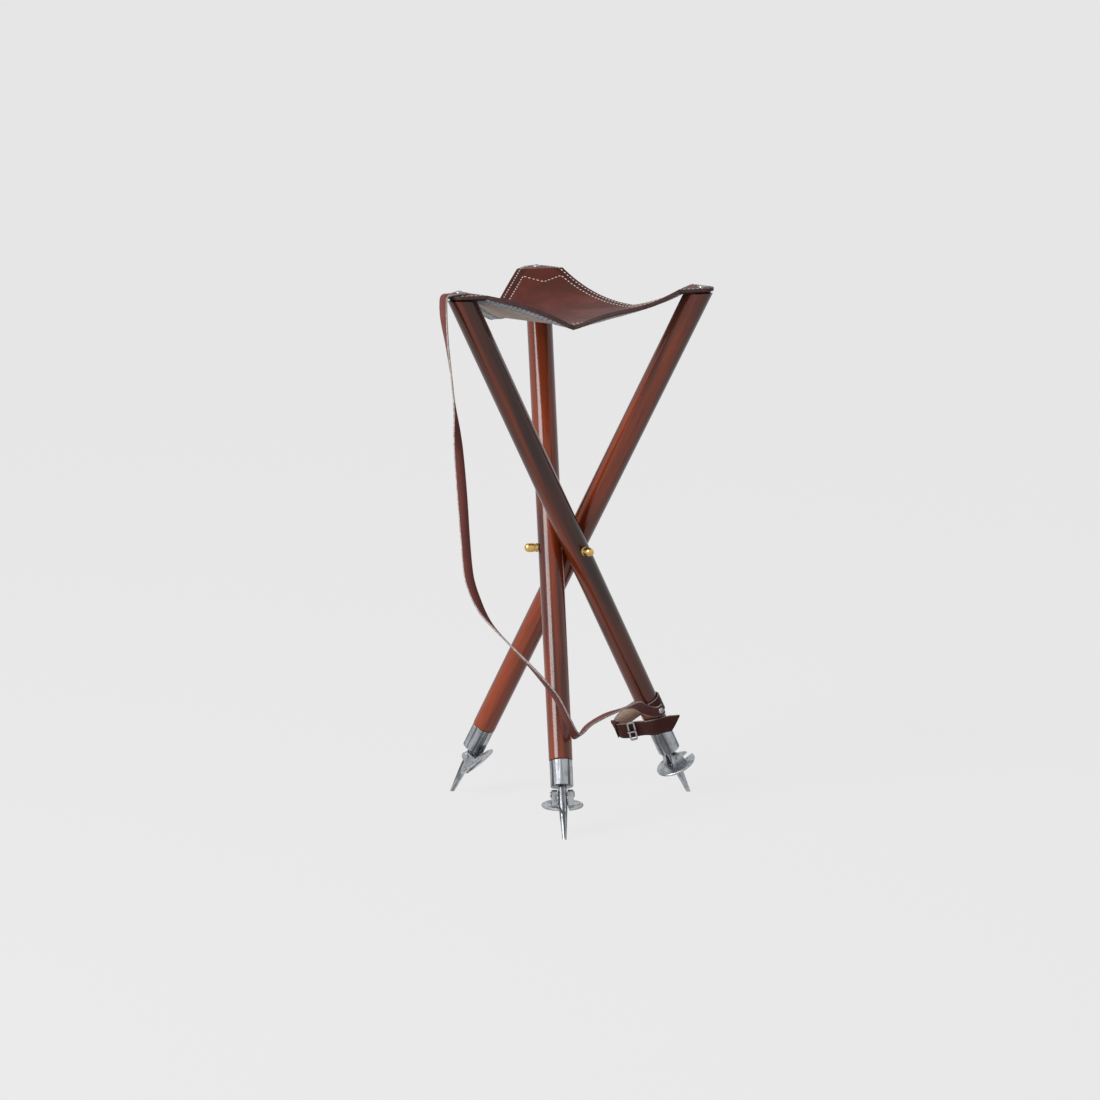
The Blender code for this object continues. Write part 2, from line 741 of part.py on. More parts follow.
def stand_on_floor(root, left_out):
    """Moves the stool so that its box, without the hanging strap, stands centred on the origin."""
    bpy.context.view_layer.update()
    corners = []
    for obj in bpy.data.objects:
        if obj.type == "MESH" and obj.name not in left_out:
            corners += [obj.matrix_world @ v.co for v in obj.data.vertices]
    low = [min(p[k] for p in corners) for k in range(3)]
    high = [max(p[k] for p in corners) for k in range(3)]
    root.location = (-(low[0] + high[0]) / 2, -(low[1] + high[1]) / 2, -low[2])
    bpy.context.view_layer.update()
    print("stud at", [round(x, 6) for x in root.location])


def build():
    clear_scene()
    looks = make_materials()
    root = empty("stool", None, Matrix.Identity(4))
    on_axis = Matrix.Translation((LEG_OFFSET, 0, 0))

    place("three_way_stud", as_mesh("three_way_stud", stud(), looks["steel"]), root)
    nut = as_mesh("cap_nut", cap_nut(), looks["brass"])
    plain_rod = as_mesh("leg_rod", rod(False), looks["wood"])
    rods = {"a": as_mesh("leg_rod_strap", rod(True), looks["wood"]), "b": plain_rod, "c": plain_rod}
    ferrule_mesh = as_mesh("ferrule", ferrule(), looks["aluminium"])
    spike_mesh = as_mesh("spike", spike(), looks["aluminium"])
    pin_mesh = as_mesh("pivot_pin", pin(), looks["steel"])
    plate_mesh = as_mesh("foot_plate", foot_plate(), looks["aluminium"])
    patch_mesh = as_mesh(
        "corner_patch", corner_layer(PATCH_INSET, FIT_GAP, FIT_GAP + PATCH_T), looks["patch_leather"]
    )
    tab_mesh = as_mesh("seat_tab", corner_layer(0.0, TAB_BASE, TAB_TOP), looks["seat_leather"])
    flap_mesh = as_mesh("seat_flap", seat_flap(), looks["seat_leather"])
    screw_mesh = as_mesh("seat_screw", screw(SCREW_LEN, SCREW_HEAD_R), looks["steel"])

    seat = empty("seat_slide", root, Matrix.Translation((0, 0, PANEL_TOP)))
    place("seat_panel", as_mesh("seat_panel", seat_panel(), looks["seat_leather"]), seat)

    legs = {}
    tops = {}
    for key, turn in LEG_TURNS.items():
        yaw = Matrix.Rotation(turn, 4, "Z")
        nut_place = yaw @ Matrix.Translation((NUT_SEAT, 0, 0)) @ ACROSS
        place(f"cap_nut_{key}", nut, root, nut_place)

        leg = empty(f"leg_{key}", root, yaw @ Matrix.Rotation(SPLAY, 4, "X"))
        legs[key] = leg
        place(f"leg_rod_{key}", rods[key], leg, on_axis)
        place(f"ferrule_{key}", ferrule_mesh, leg, on_axis)
        place(f"spike_{key}", spike_mesh, leg, on_axis)
        pin_place = on_axis @ Matrix.Translation((0, 0, PIN_AT))
        place(f"pivot_pin_{key}", pin_mesh, leg, pin_place @ ACROSS)
        swing = Matrix.Rotation(-PLATE_SWINGS[key], 4, "X")
        pivot = empty(f"plate_{key}", leg, pin_place @ swing)
        place(f"foot_plate_{key}", plate_mesh, pivot)

        level = Matrix.Rotation(-SPLAY, 4, "X") @ Matrix.Rotation(CORNER_TURN, 4, "Z")
        top = empty(f"corner_{key}", leg, on_axis @ Matrix.Translation((0, 0, ROD_ABOVE)) @ level)
        tops[key] = top
        place(f"corner_patch_{key}", patch_mesh, top)
        place(f"seat_tab_{key}", tab_mesh, top)
        under_head = TAB_TOP + FIT_GAP
        if key == "a":
            under_head += STRAP_T + FIT_GAP
        place(f"seat_screw_{key}", screw_mesh, top, Matrix.Translation((SCREW_OUT, 0, under_head)))

        corner = Matrix.Rotation(turn + CORNER_TURN, 4, "Z")
        hinge_at = yaw @ Vector((0, -PANEL_INRADIUS, 0))
        hinge = empty(f"flap_{key}", seat, Matrix.Translation(hinge_at) @ yaw)
        flap_place = hinge.matrix_basis.inverted() @ corner @ Matrix.Translation((0, 0, SEAT_SAG))
        place(f"seat_flap_{key}", flap_mesh, hinge, flap_place)

    leg = legs["a"]
    upright = leg.matrix_basis.inverted()
    carry = ribbon(carry_frames(), CARRY_WIDTH, STRAP_T)
    seat_end = tops["a"].matrix_basis @ Matrix.Translation((SCREW_OUT, 0, TAB_TOP))
    foot_end = strap_screw_place() @ Matrix.Translation((0, 0, ROD_TOP_R))
    for end in (seat_end, on_axis @ foot_end):
        hole = moved(screw_hole(CARRY_WIDTH), leg.matrix_basis @ end)
        carry = combined(carry, hole, "DIFFERENCE")
    place("carrying_strap", as_mesh("carrying_strap", carry, looks["strap_leather"]), leg, upright)
    frames = close_frames()
    close = ribbon(frames, CLOSE_WIDTH, STRAP_T, CLOSE_TIP)
    close = combined(close, moved(screw_hole(CARRY_WIDTH), foot_end), "DIFFERENCE")
    place("closing_strap", as_mesh("closing_strap", close, looks["strap_leather"]), leg, on_axis)
    head_at = rod_r(-STRAP_SCREW_DOWN) + 2 * STRAP_T + 4 * FIT_GAP
    strap_screw = screw(2 * STRAP_T + 3 * FIT_GAP + STRAP_SCREW_LEN, STRAP_SCREW_HEAD_R)
    strap_screw_at = on_axis @ strap_screw_place() @ Matrix.Translation((0, 0, head_at))
    place("strap_screw", as_mesh("strap_screw", strap_screw, looks["steel"]), leg, strap_screw_at)

    lift = STRAP_T / 2 + eye_r() + EYE_WALL + FIT_GAP
    buckle_at = on_axis @ on_strap(frames, BUCKLE_AT, lift)
    place("buckle_frame", as_mesh("buckle_frame", buckle_frame(), looks["steel"]), leg, buckle_at)
    eye_at = Matrix.Translation((-BUCKLE_LEN / 2 + BUCKLE_BAR / 2, 0, 0))
    pivot = empty("prong", leg, buckle_at @ eye_at)
    place("buckle_prong", as_mesh("buckle_prong", buckle_prong(), looks["steel"]), pivot)
    keeper_mesh = as_mesh("strap_keeper", keeper(frames), looks["strap_leather"])
    place("strap_keeper", keeper_mesh, leg, on_axis)

    stand_on_floor(root, {"carrying_strap"})


build()
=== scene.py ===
"""Folding tripod stool with a leather seat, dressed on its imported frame.

Metres, +Z up. Every piece sits at the origin with its place in its mesh."""

import math

import bmesh
import bpy
from bpy.props import FloatProperty, FloatVectorProperty, IntProperty, PointerProperty
from mathutils import Matrix, Vector
from mathutils.bvhtree import BVHTree
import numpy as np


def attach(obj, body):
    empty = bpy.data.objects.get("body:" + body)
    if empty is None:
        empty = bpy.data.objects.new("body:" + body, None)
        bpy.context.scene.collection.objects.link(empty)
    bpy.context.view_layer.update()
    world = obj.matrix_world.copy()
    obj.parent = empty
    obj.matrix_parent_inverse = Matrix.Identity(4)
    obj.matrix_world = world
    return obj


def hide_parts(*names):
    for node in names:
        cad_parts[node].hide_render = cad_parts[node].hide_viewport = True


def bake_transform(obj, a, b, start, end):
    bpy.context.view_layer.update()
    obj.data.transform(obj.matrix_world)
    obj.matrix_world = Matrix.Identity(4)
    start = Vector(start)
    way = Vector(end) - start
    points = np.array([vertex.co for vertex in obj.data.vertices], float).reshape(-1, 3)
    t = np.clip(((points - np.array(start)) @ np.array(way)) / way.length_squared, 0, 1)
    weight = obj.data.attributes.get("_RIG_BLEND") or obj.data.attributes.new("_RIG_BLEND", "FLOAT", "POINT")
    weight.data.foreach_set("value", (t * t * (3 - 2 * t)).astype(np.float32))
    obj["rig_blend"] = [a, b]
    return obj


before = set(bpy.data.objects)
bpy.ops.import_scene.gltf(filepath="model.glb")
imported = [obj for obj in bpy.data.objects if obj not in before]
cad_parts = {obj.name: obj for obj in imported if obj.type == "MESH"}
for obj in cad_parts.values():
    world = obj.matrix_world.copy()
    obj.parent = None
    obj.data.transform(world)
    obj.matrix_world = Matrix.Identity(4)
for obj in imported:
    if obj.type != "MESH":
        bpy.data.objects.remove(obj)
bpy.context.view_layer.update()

bl_info = {
    "name": "Tripod stool",
    "version": (1, 0, 0),
    "blender": (4, 5, 0),
    "location": "View3D > Sidebar > Stool",
    "description": "Rods, feet, leather seat and straps of a folding tripod stool",
    "category": "Add Mesh",
}

# The stud's place, and the legs about it, as in the solids
HUB = Vector((-0.009738, -0.005757, 0.306906))
SPLAY = math.radians(27.5)
LEG_OFFSET = 0.0192
LEG_TURNS = {"a": math.radians(300), "b": math.radians(60), "c": math.radians(180)}
ROD_TONES = {"a": 0.6, "b": 1.0, "c": 1.15}
FIT_GAP = 0.0003
ROD_ABOVE = 0.338
ROD_BELOW = 0.2545
ROD_TOP_R = 0.015
ROD_END_R = 0.0135
TENON_R = 0.0112
STUD_R = 0.003
FERRULE_R = 0.013
FERRULE_END = -0.2845
SPIKE_TIP = -0.346
PIN_AT = -0.2935
LUG_OUTER = 0.0124
NUT_SEAT = 0.033853
NUT_R = 0.0052
NUT_LEN = 0.0155
NUT_BORE = 0.0095
NUT_WAIST_IN = 0.0007
STUD_HOLE_HALF = 0.04
FERRULE_WALL = 0.0015
FERRULE_FLOOR = 0.003
FERRULE_HOLE_R = 0.0035
TENON_CLEAR = 0.0033
SPIKE_STUD_R = 0.0032
SPIKE_STUD_LEN = 0.024
SPIKE_NECK_R = 0.005
SPIKE_NECK_LEN = 0.026
SPIKE_TIP_R = 0.0024
SPIKE_SPARE = 0.0048
PIN_HEAD_R = 0.0033
PIN_HEAD_T = 0.0012
PIN_SHANK_R = 0.002
ACROSS = Matrix.Rotation(math.radians(90), 4, "Y")

# The seat about the stud's axis
SEAT_INRADIUS = 0.0949915
CORNER_R = 0.157247
CORNER_TURN = math.radians(-82.987)
CORNER_OUT = 0.0175
CORNER_ROUND = 0.00792
TAB_IN = 0.0155
SEAT_TOP = 0.305910
SEAT_T = 0.0035
TAB_TOP = 0.0061
PANEL_REACH = 0.095708
PANEL_INRADIUS = PANEL_REACH / 2
SCREW_OUT = 0.004
SCREW_HEAD_H = 0.0022
SCREW_SHANK_R = 0.002
SCREW_SLOT_W = 0.0009
SCREW_SLOT_H = 0.0018
SEAT_SCREW_LEN = 0.021
SEAT_SCREW_HEAD_R = 0.0046
SCREW_TURNS = {"a": math.radians(25), "b": math.radians(70), "c": math.radians(100)}
STRIP_W = 0.019
STRIP_T = 0.0016
PATCH_POINT = 0.1190
PATCH_SPREAD = 0.45
STITCH_W = 0.0018
STITCH_H = 0.0011
STITCH_SUNK = 0.0002
PARTS = ("panel", "a", "b", "c", "tab_a", "tab_b", "tab_c")
GRAIN_SIDE, FLESH_SIDE, CUT_EDGE, THREAD = range(4)
EDGE_WAYS = {"ab": math.radians(277.013), "bc": math.radians(37.013), "ca": math.radians(157.013)}
POINT_WAYS = {"ab": math.radians(270), "bc": math.radians(30), "ca": math.radians(150)}
CORNER_EDGES = {"a": ("ca", "ab"), "b": ("ab", "bc"), "c": ("bc", "ca")}

# How each edge rises to a corner: its arch (a hanging curve below zero) and its wave
RISES = {
    "a": ((0.0, 0.0), (0.45, 0.0)),
    "b": ((-0.10, 0.075), (-0.5, 0.0)),
    "c": ((-1.0, 0.0), (0.05, 0.0)),
}

# Straps
STRAP_T = 0.0022
CARRY_WIDTH = 0.012
CLOSE_WIDTH = 0.020
CLOSE_TIP = 0.012
CLOSE_RISE = 0.0045
CLOSE_DROP = 0.0213
LOOP_TURN = math.radians(57)
STRAP_SCREW_DOWN = 0.226
STRAP_SCREW_TURN = math.radians(5)
STRAP_SCREW_HOLD = 0.014
STRAP_SCREW_HEAD_R = 0.0036
STRAP_SCREW_SLOT_TURN = math.radians(35)

# The carrying strap's line about the stud (millimetres), each with the way its width lies
CARRY_ROUTE = (
    ((-122.0, -92.0, 307.3), (0.60, -0.80, 0.0)),
    ((-130.3, -98.2, 307.3), (0.60, -0.80, 0.0)),
    ((-138.4, -104.3, 307.3), (0.60, -0.80, 0.0)),
    ((-143.5, -108.2, 307.4), (0.60, -0.80, 0.0)),
    ((-146.6, -110.6, 304.8), (0.60, -0.80, 0.0)),
    ((-147.4, -111.2, 298.5), (0.60, -0.80, 0.0)),
    ((-147.4, -111.5, 290.5), (0.60, -0.80, 0.0)),
    ((-146.8, -112.6, 279.0), (0.50, -0.87, 0.0)),
    ((-143.8, -113.5, 253.0), (0.15, -0.99, 0.0)),
    ((-139.7, -114.0, 219.0), (-0.05, -1.0, 0.0)),
    ((-136.5, -114.5, 185.0), (-0.12, -0.99, 0.0)),
    ((-132.4, -115.5, 134.0), (-0.85, -0.50, 0.0)),
    ((-128.8, -117.0, 83.0), (-0.95, -0.30, 0.0)),
    ((-125.8, -119.0, 32.0), (-0.90, -0.45, 0.0)),
    ((-123.3, -121.0, -2.0), (-0.90, -0.42, 0.0)),
    ((-120.1, -122.5, -19.0), (-0.85, -0.50, 0.0)),
    ((-114.2, -124.0, -36.0), (-0.80, -0.60, 0.0)),
    ((-105.9, -126.0, -53.0), (-0.55, -0.82, 0.1)),
    ((-93.3, -129.0, -70.0), (-0.20, -0.96, 0.2)),
    ((-71.7, -133.0, -93.0), (-0.10, -0.94, 0.3)),
    ((-46.2, -137.0, -121.0), (0.10, -0.90, 0.4)),
    ((-25.9, -137.0, -147.5), (0.30, -0.82, 0.5)),
    ((-12.6, -134.0, -175.5), (0.45, -0.75, 0.45)),
    ((-4.0, -126.0, -193.0), (0.42, -0.75, 0.5)),
    ((2.5, -114.5, -197.5), (0.45, -0.72, 0.5)),
    ((14.5, -97.0, -190.0), (0.65, -0.65, 0.3)),
    ((32.5, -72.0, -186.0), (0.75, -0.6, 0.15)),
    ((51.4, -45.0, -185.0), (0.75, -0.6, 0.2)),
    ((77.0, -11.5, -185.5), (0.5, -0.5, 0.7)),
    ((87.7, 4.6, -193.5), (0.0, -0.3, 0.95)),
    ((97.0, 14.0, -199.0), (-0.40, -0.23, 0.89)),
    ((105.2, 18.4, -200.8), (-0.40, -0.23, 0.89)),
    ((110.1, 20.8, -199.7), (-0.40, -0.23, 0.89)),
    ((113.7, 24.2, -197.8), (-0.40, -0.23, 0.89)),
)

# The closing strap's loop round the rod: right, back (millimetres) and share of the drop
CLOSE_ROUTE = (
    (1.1, -15.2, 0.0),
    (6.0, -14.0, 0.0),
    (10.3, -11.2, 0.0),
    (13.5, -7.1, 0.0),
    (15.1, -2.2, 0.0),
    (14.9, 3.2, 0.02),
    (12.9, 8.4, 0.05),
    (7.6, 13.4, 0.10),
    (-2.0, 15.4, 0.16),
    (-14.0, 15.8, 0.24),
    (-28.0, 13.6, 0.36),
    (-39.0, 9.6, 0.50),
    (-44.6, 4.6, 0.62),
    (-43.4, -0.6, 0.72),
    (-36.0, -3.6, 0.82),
    (-26.0, -4.6, 0.90),
    (-17.6, -7.0, 0.95),
    (-10.0, -12.2, 0.98),
    (0.0, -16.0, 1.0),
    (9.5, -15.8, 1.08),
    (19.0, -14.2, 1.20),
    (27.0, -11.6, 1.30),
)
CARRY_STEPS = 6
CLOSE_STEPS = 9

# The picture's viewpoint about the stud, and the lamp
VIEW_RIGHT = Vector((0.99602114, -0.08894905, -0.00547299))
VIEW_UP = Vector((0.02114121, 0.17617895, 0.9841311))
VIEW_BACK = Vector((-0.08657331, -0.98033109, 0.17735845))
VIEW_FROM = Vector((-0.49851142, -5.421107, 0.97746677))
KEY_SIZE = (2.0, 2.6)
KEY_PLACE = Vector((-2.64, -1.8, 2.54))
KEY_AIM = Vector((0.0, 0.0, 0.3))
FLOOR_HALF = 60.0
FLOOR_DROP = 0.0003
FLOOR_GLOW = 0.92


def colour(label, text, value):
    return FloatVectorProperty(
        name=label, description=text, subtype="COLOR", size=3, min=0.0, max=1.0, default=value
    )


def size(label, text, value):
    return FloatProperty(name=label, description=text, unit="LENGTH", min=0.0, precision=4, default=value)


def share(label, text, value):
    return FloatProperty(name=label, description=text, subtype="FACTOR", min=0.0, max=1.0, default=value)


class WoodSettings(bpy.types.PropertyGroup):
    """Lacquered rods."""

    pale: colour("Pale grain", "Colour of the bright streaks", (0.34, 0.051, 0.009))
    dark: colour("Dark grain", "Colour of the dark streaks", (0.036, 0.007, 0.005))
    gloss: share("Roughness", "Roughness of the lacquer", 0.12)
    rounds: IntProperty(name="Sides", description="Sides of a turned rod", min=24, max=128, default=72)


class MetalSettings(bpy.types.PropertyGroup):
    """Feet, nuts, screws and buckle."""

    aluminium: colour("Aluminium", "Colour of the cast feet", (0.44, 0.46, 0.49))
    brass: colour("Brass", "Colour of the cap nuts", (0.72, 0.47, 0.17))
    steel: colour("Steel", "Colour of screws, pins and buckle", (0.42, 0.42, 0.43))
    edge: size("Edge", "Rounding of the cast edges", 0.0006)


class LeatherSettings(bpy.types.PropertyGroup):
    """Seat and straps."""

    seat: colour("Seat", "Grain side of the seat", (0.098, 0.022, 0.016))
    warm: colour("Seat, rubbed", "Grain side where it is rubbed", (0.190, 0.034, 0.019))
    # Also painted as shade along the edge of the seat's underside.
    raw: colour("Cut edge", "Cut edge of the seat", (0.066, 0.030, 0.030))
    flesh: colour("Flesh side", "Suede underside of the seat", (0.66, 0.53, 0.44))
    binding: colour("Binding", "Strip sewn under the edge", (0.27, 0.31, 0.38))
    patch: colour("Corner patch", "Patch on each rod's top", (0.060, 0.030, 0.030))
    thread: colour("Thread", "Stitching", (0.93, 0.86, 0.78))
    strap: colour("Straps", "Grain side of the straps", (0.165, 0.055, 0.049))
    # Pale: partly the straps' own cut edge colour, partly a painted highlight along their edges.
    strap_edge_and_highlight: colour("Strap edge", "Cut edge of the straps", (0.56, 0.48, 0.45))
    strap_flesh: colour("Strap, flesh side", "Inside of the closing strap", (0.74, 0.55, 0.42))
    pitch: size("Stitch pitch", "From one stitch to the next", 0.0051)
    stitch: size("Stitch length", "Length of one stitch", 0.0035)
    outer_row: size("Outer row", "First row of stitches from the edge", 0.0040)
    inner_row: size("Inner row", "Second row of stitches from the edge", 0.0108)
    load: size("Load", "Pull on the middle at each step as it settles", 0.000055)
    sag_ab: size("Front sag", "How far the front edge hangs", 0.0370)
    sag_bc: size("Right sag", "How far the right edge hangs", 0.0325)
    sag_ca: size("Left sag", "How far the left edge hangs", 0.0430)
    cells: IntProperty(
        name="Cells", description="Cells along one side of a seat piece", min=12, max=64, default=40
    )


class StageSettings(bpy.types.PropertyGroup):
    """Floor, light and camera."""

    floor: colour("Floor", "Colour that the floor shows", (0.845, 0.845, 0.845))
    bounce: colour("Bounce", "Colour that the floor throws back", (0.62, 0.62, 0.62))
    key: FloatProperty(name="Key", description="Power of the key lamp", min=0.0, default=150.0)
    fill: FloatProperty(
        name="Fill", description="Strength of the light from all sides", min=0.0, default=0.17
    )
    lens: FloatProperty(name="Lens", description="Focal length in millimetres", min=10.0, default=157.24)


class StoolSettings(bpy.types.PropertyGroup):
    """All sizes and colours of the stool."""

    wood: PointerProperty(type=WoodSettings)
    metal: PointerProperty(type=MetalSettings)
    leather: PointerProperty(type=LeatherSettings)
    stage: PointerProperty(type=StageSettings)


class Wire:
    """An output of a shader node that works in plain expressions."""

    def __init__(self, tree, socket):
        self.tree = tree
        self.socket = socket

    def node(self, kind, settings=None, values=None, output=0):
        """A new node in the same tree: settings first, then the values or links of its sockets."""
        made = self.tree.nodes.new(kind)
        for name, value in (settings or {}).items():
            setattr(made, name, value)
        for name, value in (values or {}).items():
            if isinstance(value, Wire):
                self.tree.links.new(value.socket, made.inputs[name])
            else:
                made.inputs[name].default_value = value
        return Wire(self.tree, made.outputs[output])

    def math(self, operation, left, right):
        return self.node("ShaderNodeMath", {"operation": operation}, {0: left, 1: right})

    def most(self, other):
        return self.math("MAXIMUM", self, other)

    def __add__(self, other):
        return self.math("ADD", self, other)

    def __radd__(self, other):
        return self.math("ADD", other, self)

    def __sub__(self, other):
        return self.math("SUBTRACT", self, other)

    def __rsub__(self, other):
        return self.math("SUBTRACT", other, self)

    def __mul__(self, other):
        return self.math("MULTIPLY", self, other)

    def __rmul__(self, other):
        return self.math("MULTIPLY", other, self)


def new_finish(name, **constants):
    """A material, its shader and its Object coordinates; constants go on the shader's own sockets."""
    material = bpy.data.materials.new(name)
    material.use_nodes = True
    tree = material.node_tree
    shader = tree.nodes["Principled BSDF"]
    for label, value in constants.items():
        shader.inputs[label.replace("_", " ")].default_value = value
    coordinates = tree.nodes.new("ShaderNodeTexCoord")
    return material, shader, Wire(tree, coordinates.outputs["Object"])


def feed(shader, label, wire):
    wire.tree.links.new(wire.socket, shader.inputs[label])


def grain(where, scale, detail=3.0, roughness=0.55, distortion=0.0):
    """Noise from 0 to 1."""
    values = {
        "Vector": where,
        "Scale": scale,
        "Detail": detail,
        "Roughness": roughness,
        "Distortion": distortion,
    }
    return where.node("ShaderNodeTexNoise", {"noise_dimensions": "3D"}, values, "Fac")


def step(value, low, high):
    """0 below low, 1 above high, smooth between."""
    settings = {"interpolation_type": "SMOOTHSTEP"}
    return value.node(
        "ShaderNodeMapRange", settings, {"Value": value, "From Min": low, "From Max": high}
    )


def mixed(share_of, first, second):
    """A colour between two others."""

    def shade(value):
        return value if isinstance(value, Wire) else (*value, 1.0)

    settings = {"data_type": "RGBA", "blend_type": "MIX"}
    values = {0: share_of, 6: shade(first), 7: shade(second)}
    return share_of.node("ShaderNodeMix", settings, values, 2)


def bumped(shader, height, strength, distance):
    values = {"Height": height, "Strength": strength, "Distance": distance}
    feed(shader, "Normal", height.node("ShaderNodeBump", None, values))


def toned(shade, by):
    """A colour made darker or lighter."""
    return tuple(part * by for part in shade)


def attribute(where, name):
    return where.node("ShaderNodeAttribute", {"attribute_name": name}, None, "Fac")


def along_leg(where, placed, squeeze):
    """Coordinates in a leg's own frame, squeezed along its axis so that a noise draws streaks."""
    back = placed.inverted()
    kind, settings = "ShaderNodeMapping", {"vector_type": "POINT"}
    values = {"Vector": where, "Location": back.translation, "Rotation": back.to_euler()}
    turned_in = where.node(kind, settings, values)
    return where.node(kind, settings, {"Vector": turned_in, "Scale": (1.0, 1.0, squeeze)})


def wood_finish(name, placed, wood, tone_by):
    """Red-brown lacquered wood with its grain along a rod, lighter or darker from rod to rod."""
    material, shader, where = new_finish(name, Specular_IOR_Level=0.5)
    long_grain = along_leg(where, placed, 0.045)
    streaks = grain(long_grain, 150.0, 4.0, 0.6, 0.4)
    drift = grain(long_grain, 38.0, 2.0, 0.5, 0.8)
    pores = step(grain(long_grain, 520.0, 2.0, 0.5), 0.60, 0.72)
    tone = step(streaks * 0.32 + drift * 0.85, 0.38, 0.78)
    shade = mixed(tone, toned(wood.dark, tone_by), toned(wood.pale, tone_by))
    shade = mixed(pores * 0.45, shade, toned(wood.dark, 0.5 * tone_by))
    feed(shader, "Base Color", shade)
    feed(shader, "Roughness", wood.gloss + streaks * 0.10)
    bumped(shader, streaks - pores * 0.4, 0.06, 0.0004)
    return material


def metal_finish(name, shade, roughness, cast, placed=None):
    """Bare metal with fine scratches, cloudy where it is cast, its clouds darker partly in their own tone
    and partly as painted dark reflection, and with painted dark reflection streaks along a turned piece's
    axis.
    """
    material, shader, where = new_finish(name, Metallic=1.0)
    clouds = grain(where, 130.0, 4.0, 0.6)
    fine = grain(where, 1400.0, 2.0, 0.5)
    # Clouds of cast metal: duller, and darker partly in their own tone and partly as painted dark
    # reflection.
    dull_and_dark_reflection = step(clouds, 0.38, 0.72)
    tone = mixed(dull_and_dark_reflection, tuple(shade), toned(shade, 1.0 - 0.60 * cast))
    if placed:
        # Painted dark reflection bands, drawn as streaks along a turned piece's axis.
        streaks = grain(along_leg(where, placed, 0.04), 190.0, 3.0, 0.6)
        tone = mixed(step(streaks, 0.45, 0.60) * 0.9, tone, toned(shade, 0.15))
    feed(shader, "Base Color", tone)
    feed(shader, "Roughness", roughness + dull_and_dark_reflection * 0.14 + fine * 0.06)
    bumped(shader, clouds * 0.6 + fine * 0.4, 0.06 + 0.06 * cast, 0.0004)
    return material


def creased(where, scale):
    """Fine pebbled grain of tanned leather: 0 in its creases, 1 on its pebbles."""
    cells = where.node(
        "ShaderNodeTexVoronoi",
        {"feature": "DISTANCE_TO_EDGE"},
        {"Vector": where, "Scale": scale, "Randomness": 1.0},
        "Distance",
    )
    return step(cells, 0.0, 0.30)


def leather_finish(name, shade, rubbed, roughness, wear=0.5, border=0.0):
    """Grain side of tanned leather: pebbles with painted shade in their creases, cloudy colour, rubbed
    places and a darker band from the edge in to the border.
    """
    material, shader, where = new_finish(name, Specular_IOR_Level=0.10)
    pebbles = creased(where, 620.0)
    clouds = grain(where, 17.0, 3.0, 0.55, 0.4)
    small = grain(where, 95.0, 3.0, 0.6)
    worn = step(clouds * 0.75 + small * 0.25, 0.52 - 0.14 * wear, 0.80 - 0.12 * wear)
    tone = mixed(worn, tuple(shade), tuple(rubbed))
    # Painted shade in the creases between the pebbles.
    tone = mixed((1 - pebbles) * 0.30, tone, toned(shade, 0.45))
    if border:
        # Darker from the edge in to the border line.
        sewn = 1 - step(attribute(where, "from_edge"), border - 0.0012, border + 0.0004)
        tone = mixed(sewn * 0.55, tone, toned(shade, 0.42))
    feed(shader, "Base Color", tone)
    feed(shader, "Roughness", roughness - worn * 0.08 + small * 0.10)
    bumped(shader, pebbles * 0.5 + small * 0.5, 0.16, 0.0005)
    return material


def under_finish(name, leather):
    """Suede underside, with a strip of smooth leather sewn on along the edge and over the corners, a painted
    shadow line beside the strip and painted shade along the edge.
    """
    constants = {"Specular_IOR_Level": 0.25, "Sheen_Weight": 0.2, "Sheen_Roughness": 0.6}
    material, shader, where = new_finish(name, **constants)
    edge = attribute(where, "from_edge")
    corner = attribute(where, "in_patch")
    nap = grain(where, 420.0, 4.0, 0.7)
    clouds = grain(where, 30.0, 4.0, 0.6)
    suede = mixed(clouds * 0.6 + nap * 0.3, tuple(leather.flesh), toned(leather.flesh, 0.66))
    mottle = step(grain(where, 120.0, 4.0, 0.7, 0.6), 0.34, 0.70)
    strip = mixed(mottle, toned(leather.binding, 0.55), toned(leather.binding, 1.5))
    inside = (1 - step(edge, STRIP_W - 0.0004, STRIP_W + 0.0004)).most(step(corner, -0.0004, 0.0004))
    # Painted shadow of the strip's thickness step: a dark line on the suede just beyond the strip.
    seam = (1 - step(edge, STRIP_W + 0.0006, STRIP_W + 0.0018)) * (1 - inside)
    tone = mixed(inside, suede, strip)
    tone = mixed(seam * 0.75, tone, toned(leather.binding, 0.12))
    # Painted shade along the edge: the underside's outer few millimetres take the cut edge's dark colour.
    tone = mixed(1 - step(edge, 0.0042, 0.0056), tone, tuple(leather.raw))
    feed(shader, "Base Color", tone)
    feed(shader, "Roughness", 0.78 + nap * 0.15 - inside * 0.3)
    bumped(shader, nap * (1.3 - inside), 0.30, 0.0005)
    return material


def thread_finish(name, shade):
    """Twisted sewing thread."""
    material, shader, where = new_finish(name, Specular_IOR_Level=0.3, Sheen_Weight=0.2)
    twist = grain(where, 1500.0, 2.0, 0.5)
    feed(shader, "Base Color", mixed(twist * 0.6, tuple(shade), toned(shade, 0.55)))
    feed(shader, "Roughness", 0.6 + twist * 0.2)
    bumped(shader, twist, 0.3, 0.0003)
    return material


def cut_edge_finish(name, shade):
    """Burnished cut edge of leather, in faint layers."""
    material, shader, where = new_finish(name, Specular_IOR_Level=0.4)
    fibres = grain(where, 240.0, 4.0, 0.65)
    tone = mixed(step(fibres, 0.3, 0.75), toned(shade, 0.6), toned(shade, 1.35))
    feed(shader, "Base Color", tone)
    feed(shader, "Roughness", 0.5 + fibres * 0.2)
    bumped(shader, fibres, 0.2, 0.0004)
    return material


